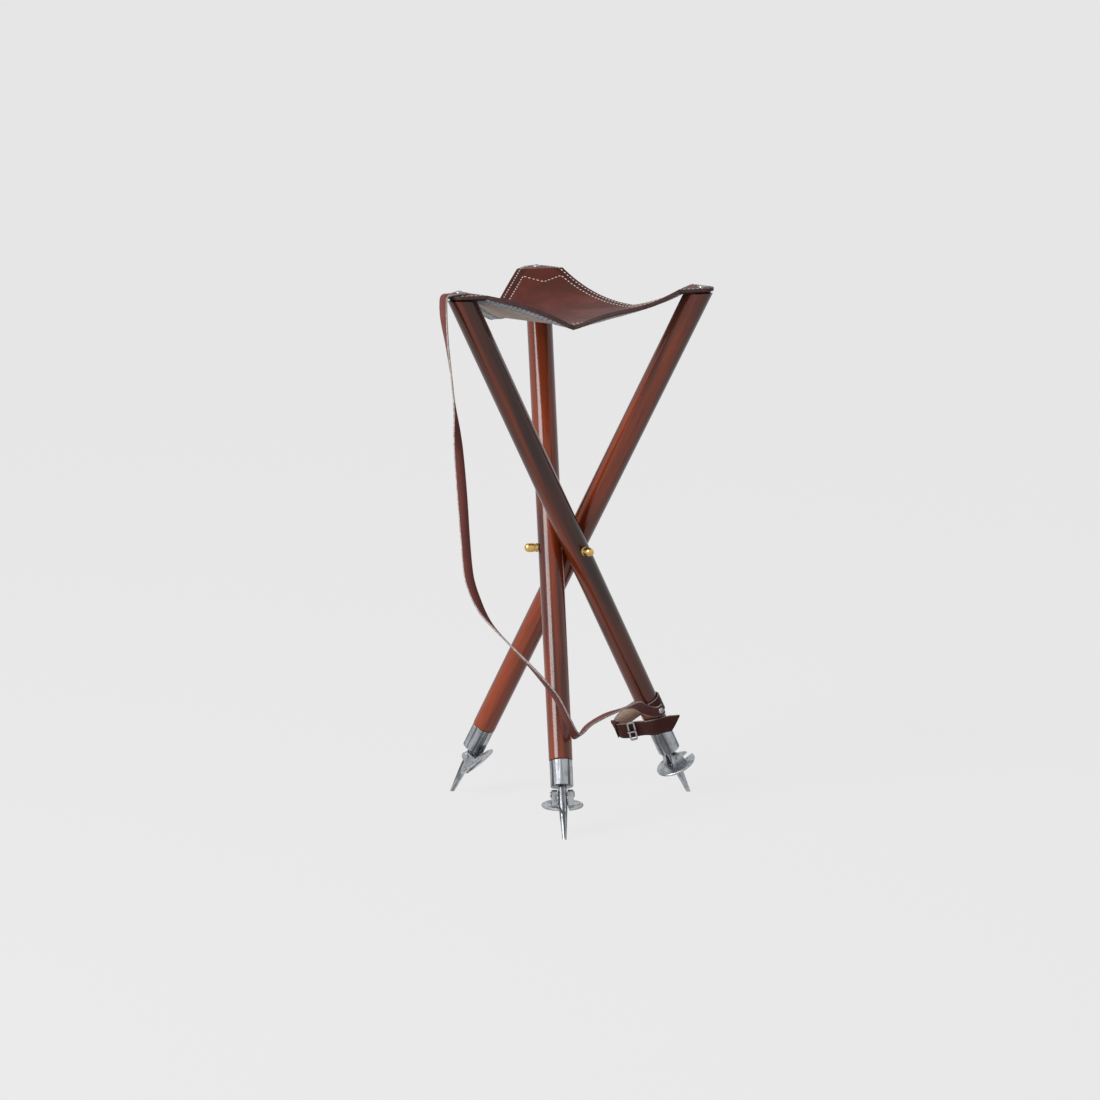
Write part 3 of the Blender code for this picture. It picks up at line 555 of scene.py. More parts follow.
def turned(profile, sides, edge=0.0, ring=False):
    """A solid turned about Z from (radius, height) points, its corners rounded by edge."""
    bm = bmesh.new()
    verts = [bm.verts.new((r, 0.0, z)) for r, z in profile]
    ends = verts[1:] + verts[:1] if ring else verts[1:]
    edges = [bm.edges.new(pair) for pair in zip(verts, ends)]
    bmesh.ops.spin(
        bm, geom=verts + edges, cent=(0, 0, 0), axis=(0, 0, 1), angle=math.tau, steps=sides, use_merge=True
    )
    bmesh.ops.remove_doubles(bm, verts=bm.verts, dist=1e-6)
    bmesh.ops.recalc_face_normals(bm, faces=bm.faces)
    if edge:
        sharp = [e for e in bm.edges if e.is_manifold and e.calc_face_angle() > math.radians(30)]
        rounded_off(bm, sharp, edge)
    return bm


def rounded_off(bm, edges, offset, segments=3):
    bmesh.ops.bevel(
        bm,
        geom=edges,
        offset=offset,
        offset_type="OFFSET",
        segments=segments,
        profile=0.5,
        affect="EDGES",
        clamp_overlap=True,
        material=-1,
    )
    return bm


def cut_level(bm, height, upper, rounding):
    """Cuts a leg's piece level at a height on its axis, above or below, and rounds the cut's edge."""
    cut = bmesh.ops.bisect_plane(
        bm,
        geom=bm.verts[:] + bm.edges[:] + bm.faces[:],
        plane_co=(0, 0, height),
        plane_no=(0, math.sin(SPLAY), math.cos(SPLAY)),
        clear_outer=upper,
        clear_inner=not upper,
    )
    rim = [e for e in cut["geom_cut"] if isinstance(e, bmesh.types.BMEdge)]
    bmesh.ops.edgeloop_fill(bm, edges=rim)
    rounded_off(bm, rim, rounding)


def moved(bm, matrix):
    bmesh.ops.transform(bm, matrix=matrix, verts=bm.verts)
    return bm


def cut_away(bm, tool):
    """The shape without what the tool takes out of it."""
    helpers = []
    for shape in (bm, tool):
        mesh = bpy.data.meshes.new("helper")
        shape.to_mesh(mesh)
        shape.free()
        helper = bpy.data.objects.new("helper", mesh)
        bpy.context.scene.collection.objects.link(helper)
        helpers.append(helper)
    modifier = helpers[0].modifiers.new("cut", "BOOLEAN")
    modifier.operation = "DIFFERENCE"
    modifier.object = helpers[1]
    modifier.solver = "EXACT"
    bpy.context.view_layer.update()
    result = bmesh.new()
    result.from_object(helpers[0], bpy.context.evaluated_depsgraph_get())
    for helper in helpers:
        mesh = helper.data
        bpy.data.objects.remove(helper)
        bpy.data.meshes.remove(mesh)
    return result


def as_piece(name, bm, finishes, smooth=35.0):
    """An object at the origin with the given materials."""
    mesh = bpy.data.meshes.new(name)
    bm.to_mesh(mesh)
    bm.free()
    for finish in finishes:
        mesh.materials.append(finish)
    mesh.shade_smooth()
    mesh.set_sharp_from_angle(angle=math.radians(smooth))
    piece = bpy.data.objects.new(name, mesh)
    bpy.context.scene.collection.objects.link(piece)
    return piece


def stands_for(piece, body, slot, *nodes):
    """Puts a piece in its solid's place.

    A turned wall is shaded by its own slope, not by its rounded edge."""
    if not slot.endswith("leather") and not piece.modifiers:
        piece.modifiers.new("even", "WEIGHTED_NORMAL").keep_sharp = True
    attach(piece, body)
    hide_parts(*nodes)
    return piece


def refined(node, name, finish, edge, segments=3):
    """A merged copy of a solid with its edges rounded."""
    bm = bmesh.new()
    bm.from_mesh(bpy.data.objects[node].data)
    bmesh.ops.remove_doubles(bm, verts=bm.verts, dist=2e-6)
    bmesh.ops.dissolve_limit(bm, angle_limit=math.radians(1.5), verts=bm.verts, edges=bm.edges)
    for face in bm.faces:
        face.material_index = 0
    piece = as_piece(name, bm, [finish], 40.0)
    modifier = piece.modifiers.new("round", "BEVEL")
    modifier.width = edge
    modifier.segments = segments
    modifier.limit_method = "ANGLE"
    modifier.angle_limit = math.radians(40)
    modifier.harden_normals = True
    return piece


def leg_place(key):
    """Frame of a rod: its axis along Z, the stud at zero."""
    yaw = Matrix.Rotation(LEG_TURNS[key], 4, "Z")
    lean = Matrix.Rotation(SPLAY, 4, "X") @ Matrix.Translation((LEG_OFFSET, 0, 0))
    return Matrix.Translation(HUB) @ yaw @ lean


def corner_place(key):
    """Frame of a seat corner on its rod's top: level, X outwards."""
    level = Matrix.Rotation(-SPLAY, 4, "X") @ Matrix.Rotation(CORNER_TURN, 4, "Z")
    return leg_place(key) @ Matrix.Translation((0, 0, ROD_ABOVE)) @ level


def strap_screw_place():
    """Frame of the strap screw on leg a: Z points out of the wood."""
    down = Matrix.Translation((0, 0, -STRAP_SCREW_DOWN))
    return leg_place("a") @ down @ Matrix.Rotation(STRAP_SCREW_TURN, 4, "Z") @ ACROSS


def rod_r(z):
    return ROD_END_R + (ROD_TOP_R - ROD_END_R) * (z + ROD_BELOW) / (ROD_ABOVE + ROD_BELOW)


def settings(context):
    return context.scene.stool


class STOOL_OT_leg_rods(bpy.types.Operator):
    """Three tapered rods, cut level under the seat"""

    bl_idname = "stool.leg_rods"
    bl_label = "Leg rods"

    def execute(self, context):
        wood = settings(context).wood
        over = ROD_ABOVE + 2 * ROD_TOP_R
        tenon = FERRULE_END + TENON_CLEAR
        profile = [(0, tenon), (TENON_R, tenon), (TENON_R, -ROD_BELOW)]
        profile += [(ROD_END_R - 0.0012, -ROD_BELOW), (ROD_END_R - 0.0004, -ROD_BELOW + 0.0004)]
        profile += [(ROD_END_R, -ROD_BELOW + 0.0012), (rod_r(over), over), (0, over)]
        bore, reach = STUD_R + FIT_GAP, STUD_HOLE_HALF
        for key in LEG_TURNS:
            bm = turned(profile, wood.rounds)
            cut_level(bm, ROD_ABOVE, True, 0.0009)
            hole = turned(((0, -reach), (bore, -reach), (bore, reach), (0, reach)), 24)
            bm = moved(cut_away(bm, moved(hole, ACROSS)), leg_place(key))
            finish = wood_finish(f"wood_{key}", leg_place(key), wood, ROD_TONES[key])
            piece = as_piece(f"rod_{key}", bm, [finish])
            stands_for(piece, f"leg_{key}", "wood", f"leg_rod_{key}")
        return {"FINISHED"}


class STOOL_OT_stud_and_nuts(bpy.types.Operator):
    """Three-way stud and its turned cap nuts"""

    bl_idname = "stool.stud_and_nuts"
    bl_label = "Stud and cap nuts"

    def execute(self, context):
        metal = settings(context).metal
        steel = metal_finish("stud_steel", metal.steel, 0.30, 0.4)
        piece = refined("three_way_stud", "stud", steel, 0.0002, 2)
        stands_for(piece, "hub", "steel", "three_way_stud")
        brass = metal_finish("turned_brass", metal.brass, 0.20, 0.5)
        waist = NUT_R - NUT_WAIST_IN
        bore = STUD_R + FIT_GAP
        profile = [(0, NUT_BORE), (bore, NUT_BORE), (bore, 0), (NUT_R - 0.0004, 0), (NUT_R, 0.0004)]
        profile += [(NUT_R, 0.0024), (waist, 0.0030), (waist, 0.0040), (NUT_R, 0.0046)]
        for k in range(9):
            turn = math.pi / 2 * k / 9
            profile.append((NUT_R * math.cos(turn), NUT_LEN - NUT_R + NUT_R * math.sin(turn)))
        profile.append((0, NUT_LEN))
        for key, turn in LEG_TURNS.items():
            out = Matrix.Rotation(turn, 4, "Z") @ Matrix.Translation((NUT_SEAT, 0, 0)) @ ACROSS
            bm = moved(turned(profile, 40), Matrix.Translation(HUB) @ out)
            stands_for(as_piece(f"nut_{key}", bm, [brass]), "hub", "brass", f"cap_nut_{key}")
        return {"FINISHED"}


class STOOL_OT_feet(bpy.types.Operator):
    """Ferrules, spikes, pivot pins and swinging ground plates"""

    bl_idname = "stool.feet"
    bl_label = "Feet"

    def execute(self, context):
        metal = settings(context).metal
        cast = metal_finish("cast_aluminium", metal.aluminium, 0.26, 1.0)
        steel = metal_finish("pin_steel", metal.steel, 0.28, 0.5)
        top, floor = -ROD_BELOW - FIT_GAP, FERRULE_END + FERRULE_FLOOR
        wall = FERRULE_R - FERRULE_WALL
        cup = [(FERRULE_HOLE_R, FERRULE_END), (FERRULE_R, FERRULE_END), (FERRULE_R, top), (wall, top)]
        cup += [(wall, floor), (FERRULE_HOLE_R, floor)]
        over = SPIKE_TIP - SPIKE_SPARE
        stud, under = FERRULE_END + SPIKE_STUD_LEN, FERRULE_END - FIT_GAP
        point = [(0, stud), (SPIKE_STUD_R, stud), (SPIKE_STUD_R, under), (SPIKE_NECK_R, under)]
        point += [(SPIKE_NECK_R, FERRULE_END - SPIKE_NECK_LEN), (SPIKE_TIP_R, SPIKE_TIP)]
        point += [(SPIKE_TIP_R, over), (0, over)]
        shoulder = LUG_OUTER + FIT_GAP
        end = shoulder + PIN_HEAD_T
        pin = [(0, -end), (PIN_HEAD_R, -end), (PIN_HEAD_R, -shoulder), (PIN_SHANK_R, -shoulder)]
        pin += [(r, -z) for r, z in reversed(pin)]
        for key in LEG_TURNS:
            leg = leg_place(key)
            turned_metal = metal_finish(f"turned_aluminium_{key}", metal.aluminium, 0.24, 0.6, leg)
            bm = moved(turned(cup, 64, 0.0005, ring=True), leg)
            piece = as_piece(f"cup_{key}", bm, [turned_metal])
            stands_for(piece, f"leg_{key}", "aluminium", f"ferrule_{key}")
            bm = turned(point, 40)
            cut_level(bm, SPIKE_TIP, False, 0.0006)
            piece = as_piece(f"point_{key}", moved(bm, leg), [turned_metal])
            stands_for(piece, f"leg_{key}", "aluminium", f"spike_{key}")
            across = leg @ Matrix.Translation((0, 0, PIN_AT)) @ ACROSS
            piece = as_piece(f"pin_{key}", moved(turned(pin, 32, 0.0003), across), [steel])
            stands_for(piece, f"leg_{key}", "steel", f"pivot_pin_{key}")
            piece = refined(f"foot_plate_{key}", f"plate_{key}", cast, metal.edge)
            stands_for(piece, f"plate_{key}", "aluminium", f"foot_plate_{key}")
        return {"FINISHED"}


def round_head(length, head_r):
    """Slotted round-headed screw, head up along Z, seated at zero."""
    shank = SCREW_SHANK_R
    profile = [(0, -length), (shank / 2, -length + 0.002), (shank, -length + 0.006)]
    profile += [(shank, 0), (head_r, 0)]
    for k in range(1, 7):
        turn = math.pi / 2 * k / 7
        profile.append((head_r * math.cos(turn), SCREW_HEAD_H * math.sin(turn)))
    profile.append((0, SCREW_HEAD_H))
    slot = bmesh.new()
    bmesh.ops.create_cube(slot, size=1.0)
    bmesh.ops.scale(slot, vec=(SCREW_SLOT_W, 3 * head_r, SCREW_SLOT_H), verts=slot.verts)
    bmesh.ops.translate(slot, vec=(0, 0, SCREW_HEAD_H), verts=slot.verts)
    return cut_away(turned(profile, 36), slot)


class STOOL_OT_screws(bpy.types.Operator):
    """Seat screws and the strap screw"""

    bl_idname = "stool.screws"
    bl_label = "Screws"

    def execute(self, context):
        metal = settings(context).metal
        steel = metal_finish("screw_steel", metal.steel, 0.22, 0.4)
        for key, turn in SCREW_TURNS.items():
            under = TAB_TOP + FIT_GAP
            if key == "a":
                under += STRAP_T + FIT_GAP
            at = corner_place(key) @ Matrix.Translation((SCREW_OUT, 0, under))
            at = at @ Matrix.Rotation(turn, 4, "Z")
            bm = moved(round_head(SEAT_SCREW_LEN, SEAT_SCREW_HEAD_R), at)
            piece = as_piece(f"seat_head_{key}", bm, [steel])
            stands_for(piece, f"leg_{key}", "steel", f"seat_screw_{key}")
        lift = rod_r(-STRAP_SCREW_DOWN) + 2 * STRAP_T + 4 * FIT_GAP
        at = strap_screw_place() @ Matrix.Translation((0, 0, lift))
        at = at @ Matrix.Rotation(STRAP_SCREW_SLOT_TURN, 4, "Z")
        length = 2 * STRAP_T + 3 * FIT_GAP + STRAP_SCREW_HOLD
        piece = as_piece("strap_head", moved(round_head(length, STRAP_SCREW_HEAD_R), at), [steel])
        stands_for(piece, "leg_a", "steel", "strap_screw")
        return {"FINISHED"}


def way(turn):
    return Vector((math.cos(turn), math.sin(turn), 0.0))


def half_width(out):
    """Half the seat's width at a distance from its middle towards a corner."""
    return (2 * SEAT_INRADIUS - out) * math.tan(math.radians(30))


def from_edge(p, edge):
    return SEAT_INRADIUS - p.dot(way(EDGE_WAYS[edge]))


def corner_way(key):
    return way(LEG_TURNS[key] + CORNER_TURN)


def hinge_way(key):
    return way(LEG_TURNS[key] - math.pi / 2)


def in_patch(p, key):
    """How far a point lies inside the corner patch's V-shaped inner edge."""
    out = corner_way(key)
    aside = p - out * p.dot(out)
    aside.z = 0.0
    return p.dot(out) - PATCH_POINT - PATCH_SPREAD * aside.length


def edge_height(p, part, leather):
    """Height of the seat's edge over the stud, at a point of one part's edge."""
    sags = {"ab": leather.sag_ab, "bc": leather.sag_bc, "ca": leather.sag_ca}
    if part.startswith("tab"):
        return SEAT_TOP
    if part == "panel":
        return SEAT_TOP - sags[min(sags, key=lambda e: from_edge(p, e))]
    near = max(p.dot(hinge_way(part)) - PANEL_INRADIUS, 0.0)
    far = max(CORNER_R - TAB_IN - p.dot(corner_way(part)), 0.0)
    along = near / (near + far)
    on = min((0, 1), key=lambda k: from_edge(p, CORNER_EDGES[part][k]))
    arch, wave = RISES[part][on]
    rise = along * (1 + arch * (1 - along)) + wave * math.sin(math.tau * along)
    return SEAT_TOP - sags[CORNER_EDGES[part][on]] * (1 - rise)


def settle(bm, leather, steps, load):
    """Lets the leather hang between its edges and its tabs."""
    mark = bm.faces.layers.int["part"]
    inner = []
    for vert in bm.verts:
        part = PARTS[max(f[mark] for f in vert.link_faces)]
        if vert.is_boundary or part.startswith("tab"):
            vert.co.z = edge_height(vert.co, part, leather)
        else:
            inner.append(vert)
    for _ in range(steps):
        bmesh.ops.smooth_vert(bm, verts=inner, factor=0.5, use_axis_z=True)
        bmesh.ops.translate(bm, verts=inner, vec=(0, 0, -load))


def seat_sheet(leather):
    """Top of the whole seat as one sheet about the stud, its faces marked by part."""
    bm = bmesh.new()
    mark = bm.faces.layers.int.new("part")
    points = {e: bm.verts.new(way(t) * PANEL_REACH) for e, t in POINT_WAYS.items()}
    bm.faces.new(points.values())[mark] = PARTS.index("panel")
    inner, outer = CORNER_R - TAB_IN, CORNER_R + CORNER_OUT
    for key, (first, second) in CORNER_EDGES.items():
        out = corner_way(key)
        left = Vector((-out.y, out.x, 0.0))
        ring = []
        for reach, side in ((inner, -1), (inner, 1), (outer, 1), (outer, -1)):
            ring.append(bm.verts.new(out * reach + left * side * half_width(reach)))
        bm.faces.new((points[first], ring[0], ring[1], points[second]))[mark] = PARTS.index(key)
        bm.faces.new(ring)[mark] = PARTS.index(f"tab_{key}")
    bmesh.ops.translate(bm, verts=bm.verts, vec=(0, 0, SEAT_TOP - leather.sag_ab))
    for cuts, steps, load in ((leather.cells // 4 - 1, 150, leather.load), (3, 12, leather.load / 16)):
        bmesh.ops.subdivide_edges(bm, edges=bm.edges, cuts=cuts, use_grid_fill=True)
        settle(bm, leather, steps, load)
    for key in CORNER_EDGES:
        round_corner(bm, key)
    bmesh.ops.recalc_face_normals(bm, faces=bm.faces)
    if sum(f.normal.z for f in bm.faces) < 0:
        bmesh.ops.reverse_faces(bm, faces=bm.faces)
    bm.normal_update()
    lean = bm.verts.layers.float_vector.new("lean")
    seam = bm.verts.layers.int.new("seam")
    rim = bm.verts.layers.int.new("rim")
    edge = bm.verts.layers.float.new("from_edge")
    patch = bm.verts.layers.float.new("in_patch")
    for vert in bm.verts:
        vert[lean] = vert.normal
        vert[seam] = len({f[mark] for f in vert.link_faces}) > 1
        vert[rim] = vert.is_boundary
        vert[edge] = min(from_edge(vert.co, e) for e in EDGE_WAYS)
        vert[patch] = max(in_patch(vert.co, key) for key in CORNER_EDGES)
    return bm


def round_corner(bm, key):
    """Draws a tab's outer rows in to its round corners."""
    mark = bm.faces.layers.int["part"]
    out = corner_way(key)
    left = Vector((-out.y, out.x, 0.0))
    outer = CORNER_R + CORNER_OUT
    length = CORNER_OUT + TAB_IN
    tab = {v for f in bm.faces if f[mark] == PARTS.index(f"tab_{key}") for v in f.verts}
    for vert in tab:
        reach = vert.co.dot(out)
        share_in = (outer - reach) / length
        if share_in > 0.999:
            continue
        side = vert.co.dot(left) / half_width(reach)
        depth = length * share_in**1.8 if share_in > 0 else 0.0
        wide = half_width(outer - depth)
        if depth < CORNER_ROUND:
            wide -= CORNER_ROUND - math.sqrt(CORNER_ROUND**2 - (CORNER_ROUND - depth) ** 2)
        vert.co.xy = (out * (outer - depth) + left * side * wide).xy


def smooth_step(value, low, high):
    t = min(max((value - low) / (high - low), 0.0), 1.0)
    return t * t * (3 - 2 * t)


def leather_piece(sheet, part):
    """One part of the seat with its thickness, its cut edge and its underside."""
    bm = sheet.copy()
    mark = bm.faces.layers.int["part"]
    lean = bm.verts.layers.float_vector["lean"]
    rim = bm.verts.layers.int["rim"]
    edge = bm.verts.layers.float["from_edge"]
    patch = bm.verts.layers.float["in_patch"]
    bmesh.ops.delete(bm, geom=[f for f in bm.faces if f[mark] != PARTS.index(part)], context="FACES")
    top = set(bm.faces)
    grown = bmesh.ops.extrude_face_region(bm, geom=bm.faces[:])["geom"]
    under = {g for g in grown if isinstance(g, bmesh.types.BMFace)}
    for vert in (g for g in grown if isinstance(g, bmesh.types.BMVert)):
        depth = SEAT_T
        if not part.startswith("tab"):
            fade = 1 - smooth_step(vert[patch], 0.006, 0.016)
            doubled = 1 - smooth_step(vert[edge], STRIP_W - 0.0010, STRIP_W + 0.0010)
            depth += STRIP_T * fade * max(doubled, smooth_step(vert[patch], -0.0008, 0.0008))
        vert.co -= vert[lean] * depth
    for face in bm.faces:
        face.material_index = GRAIN_SIDE if face in top else FLESH_SIDE if face in under else CUT_EDGE
    bmesh.ops.recalc_face_normals(bm, faces=bm.faces)
    lips = []
    for e in bm.edges:
        kinds = {f.material_index for f in e.link_faces}
        if CUT_EDGE in kinds and len(kinds) == 2 and all(v[rim] for v in e.verts):
            lips.append(e)
    if lips:
        rounded_off(bm, lips, 0.0008)
    return bm


def stitch_rows(leather):
    """Plan lines of the stitching about the stud: two rows on each edge and a V on each corner."""
    rows = []
    vees = {}
    for edge, turn in EDGE_WAYS.items():
        out = way(turn)
        along = Vector((-out.y, out.x, 0.0))
        for inset in (leather.outer_row, leather.inner_row):
            level = SEAT_INRADIUS - inset
            reach = CORNER_R + CORNER_OUT - CORNER_ROUND
            if inset == leather.inner_row:
                reach = patch_meets(level)
            run = (reach - level / 2) / math.cos(math.radians(30))
            rows.append((out * level - along * run, out * level + along * run))
        vees[edge] = rows[-1]
    for key, (first, second) in CORNER_EDGES.items():
        tip = corner_way(key) * PATCH_POINT
        rows.append((vees[first][1], tip))
        rows.append((tip, vees[second][0]))
    return rows


def patch_meets(level):
    """Distance from the middle at which an inner row meets the corner patch's edge."""
    low, high = 0.10, 0.15
    for _ in range(40):
        middle = (low + high) / 2
        aside = (2 * level - middle) * math.tan(math.radians(30))
        if middle - PATCH_POINT - PATCH_SPREAD * aside < 0:
            low = middle
        else:
            high = middle
    return low


def stitch_shape():
    """One stitch as a rounded grain of thread, two units long."""
    bm = bmesh.new()
    bmesh.ops.create_uvsphere(bm, u_segments=7, v_segments=5, radius=1.0)
    for face in bm.faces:
        face.material_index = THREAD
    mesh = bpy.data.meshes.new("stitch")
    bm.to_mesh(mesh)
    bm.free()
    return mesh


def sew(pieces, sheet, leather):
    """Adds each stitch to the piece of leather that it lies on, above and below."""
    mark = sheet.faces.layers.int["part"]
    sheet.faces.ensure_lookup_table()
    skin = BVHTree.FromBMesh(sheet)
    shape = stitch_shape()
    grow = Matrix.Diagonal((leather.stitch / 2, STITCH_W / 2, STITCH_H / 2, 1.0))
    for start, end in stitch_rows(leather):
        run = end - start
        count = max(round(run.length / leather.pitch), 1)
        for k in range(count):
            spot = start + run * ((k + 0.5) / count)
            at, up, index, _ = skin.ray_cast(spot + Vector((0, 0, 1.0)), Vector((0, 0, -1)))
            if at is None:
                continue
            part = PARTS[sheet.faces[index][mark]]
            ahead = (run - up * run.dot(up)).normalized()
            turn = Matrix((ahead, up.cross(ahead), up)).transposed().to_4x4()
            for depth in (STITCH_SUNK, SEAT_T + STRIP_T - STITCH_SUNK):
                if depth > SEAT_T and part.startswith("tab"):
                    continue
                stitch = shape.copy()
                stitch.transform(Matrix.Translation(at - up * depth) @ turn @ grow)
                pieces[part].from_mesh(stitch)
                bpy.data.meshes.remove(stitch)
    bpy.data.meshes.remove(shape)


def shared_normals(mesh):
    """Keeps the whole seat's shading where its pieces meet."""
    lean = mesh.attributes["lean"].data
    seam = mesh.attributes["seam"].data
    normals = []
    for face in mesh.polygons:
        sign = {GRAIN_SIDE: 1.0, FLESH_SIDE: -1.0}.get(face.material_index, 0.0)
        for vert in face.vertices:
            kept = sign and seam[vert].value
            normals.append(Vector(lean[vert].vector) * sign if kept else Vector((0, 0, 0)))
    mesh.normals_split_custom_set(normals)


def flat_cut(part):
    """Width, length and flat area of one part of the seat as it is cut."""
    side = PANEL_REACH * math.sqrt(3)
    if part == "panel":
        return side, 1.5 * PANEL_REACH, 0.75 * side * PANEL_REACH
    inner, outer = CORNER_R - TAB_IN, CORNER_R + CORNER_OUT
    wide, narrow, long = side, 2 * half_width(inner), inner - PANEL_INRADIUS
    if part.startswith("tab"):
        wide, narrow, long = narrow, 2 * half_width(outer), outer - inner
    return wide, long, (wide + narrow) / 2 * long


class STOOL_OT_seat(bpy.types.Operator):
    """Leather seat: dished middle, three flaps and three corner tabs, with their stitching"""

    bl_idname = "stool.seat"
    bl_label = "Seat"

    def execute(self, context):
        leather = settings(context).leather
        finishes = [
            leather_finish("seat_grain", leather.seat, leather.warm, 0.42, 0.7, leather.inner_row),
            under_finish("seat_underside", leather),
            cut_edge_finish("seat_cut_edge", leather.raw),
            thread_finish("seat_thread", leather.thread),
        ]
        sheet = seat_sheet(leather)
        shapes = {part: leather_piece(sheet, part) for part in PARTS}
        sew(shapes, sheet, leather)
        place_at = Matrix.Translation(HUB)
        patches = leather_finish("patch_leather", leather.patch, toned(leather.patch, 1.6), 0.6, 0.4)
        for part, bm in shapes.items():
            piece = as_piece(f"seat_{part}", moved(bm, place_at), finishes, 50.0)
            shared_normals(piece.data)
            wide, long, area = flat_cut(part)
            if part == "panel":
                stands_for(piece, "seat", "seat_leather", "seat_panel")
            elif part.startswith("tab"):
                stands_for(piece, f"leg_{part[-1]}", "seat_leather", f"seat_{part}")
            else:
                line = HUB + hinge_way(part) * PANEL_INRADIUS
                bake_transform(piece, "seat", f"flap_{part}", start=line, end=line + hinge_way(part) * 0.025)
                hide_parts(f"seat_flap_{part}")
        for key in CORNER_EDGES:
            piece = refined(f"corner_patch_{key}", f"under_patch_{key}", patches, 0.0004, 2)
            stands_for(piece, f"leg_{key}", "patch_leather", f"corner_patch_{key}")
        sheet.free()
        return {"FINISHED"}


def smooth_line(points, steps):
    """Points along a smooth curve through the given ones."""
    line = []
    for i in range(len(points) - 1):
        p0 = points[max(i - 1, 0)]
        p1, p2 = points[i], points[i + 1]
        p3 = points[min(i + 2, len(points) - 1)]
        for k in range(steps):
            t = k / steps
            bend = (p2 - p0) * t + (2 * p0 - 5 * p1 + 4 * p2 - p3) * t * t
            line.append(p1 + (bend + (3 * p1 - p0 - 3 * p2 + p3) * t**3) / 2)
    return line + [points[-1]]


def strap_frames(line, sides):
    """(middle, tangent, width way, face way) at each point of a strap's line."""
    frames = []
    for i, middle in enumerate(line):
        ahead = (line[min(i + 1, len(line) - 1)] - line[max(i - 1, 0)]).normalized()
        side = (sides[i] - ahead * sides[i].dot(ahead)).normalized()
        frames.append((middle, ahead, side, ahead.cross(side)))
    return frames


def carry_frames():
    points = [HUB + Vector(p) * 0.001 for p, _ in CARRY_ROUTE]
    sides = [Vector(s) for _, s in CARRY_ROUTE]
    return strap_frames(smooth_line(points, CARRY_STEPS), smooth_line(sides, CARRY_STEPS))


def close_frames():
    points = []
    for right, back, drop in CLOSE_ROUTE:
        flat = Matrix.Rotation(LOOP_TURN, 2) @ Vector((right, back)) * 0.001
        level = CLOSE_RISE - STRAP_SCREW_DOWN - CLOSE_DROP * drop
        points.append(Vector((flat.x, flat.y, level)))
    line = smooth_line(points, CLOSE_STEPS)
    leg = leg_place("a")
    turn = leg.to_3x3()
    frames = strap_frames(line, [Vector((0, 0, 1))] * len(line))
    return [(leg @ m, turn @ a, turn @ s, turn @ f) for m, a, s, f in frames]


def strap(frames, width, thickness, tip=0.0, edge=0.0005):
    """A flat strap with rounded edges, pointed at its end where a tip is given."""
    bm = bmesh.new()
    half_t = thickness / 2
    left = [0.0] * len(frames)
    for i in range(len(frames) - 2, -1, -1):
        left[i] = left[i + 1] + (frames[i][0] - frames[i + 1][0]).length

    def section(i):
        middle, _, side, face = frames[i]
        half = width / 2
        if left[i] < tip:
            full = half
            half *= 0.10 + 0.90 * left[i] / tip
            middle = middle + side * (full - half) * 0.7
        e = min(edge, half / 2)
        flat = [(-half + e, half_t), (0, half_t), (half - e, half_t)]
        flat += [(half, half_t - e), (half, e - half_t)]
        flat += [(-a, -b) for a, b in flat]
        return [middle + side * a + face * b for a, b in flat]

    verts = [bm.verts.new(p) for p in section(0)]
    kinds = [GRAIN_SIDE] * 2 + [CUT_EDGE] * 3 + [FLESH_SIDE] * 2 + [CUT_EDGE] * 3
    loop = [bm.edges.new((verts[k], verts[(k + 1) % len(verts)])) for k in range(len(verts))]
    ends = [bm.faces.new(verts)]
    for i in range(1, len(frames)):
        made = bmesh.ops.extrude_edge_only(bm, edges=loop)["geom"]
        faces = [g for g in made if isinstance(g, bmesh.types.BMFace)]
        follow = {}
        for edge_now in loop:
            for face in edge_now.link_faces:
                if face in faces:
                    face.material_index = kinds[loop.index(edge_now)]
                    for vert in edge_now.verts:
                        for other in face.verts:
                            if other not in verts and any(vert in e.verts for e in other.link_edges):
                                follow[vert] = other
        verts = [follow[v] for v in verts]
        for vert, p in zip(verts, section(i)):
            vert.co = p
        loop = [bm.edges.get((verts[k], verts[(k + 1) % len(verts)])) for k in range(len(verts))]
    ends.append(bm.faces.new(verts))
    for face in ends:
        face.material_index = CUT_EDGE
    bmesh.ops.recalc_face_normals(bm, faces=bm.faces)
    return bm


class STOOL_OT_carrying_strap(bpy.types.Operator):
    """Carrying strap from the seat's left corner to the foot of the same leg"""

    bl_idname = "stool.carrying_strap"
    bl_label = "Carrying strap"

    def execute(self, context):
        leather = settings(context).leather
        shade = leather.strap
        finishes = [
            leather_finish("carry_grain", shade, toned(shade, 1.6), 0.40, 0.6),
            leather_finish("carry_back", toned(shade, 1.5), toned(shade, 2.2), 0.6, 0.5),
            # The pale cut edge carries a painted highlight.
            cut_edge_finish("carry_edge", leather.strap_edge_and_highlight),
        ]
        frames = carry_frames()
        piece = as_piece("carry_strap", strap(frames, CARRY_WIDTH, STRAP_T), finishes, 60.0)
        stands_for(piece, "leg_a", "strap_leather", "carrying_strap")
        path = [middle for middle, _, _, _ in frames]
        length = sum((b - a).length for a, b in zip(path, path[1:]))
        return {"FINISHED"}


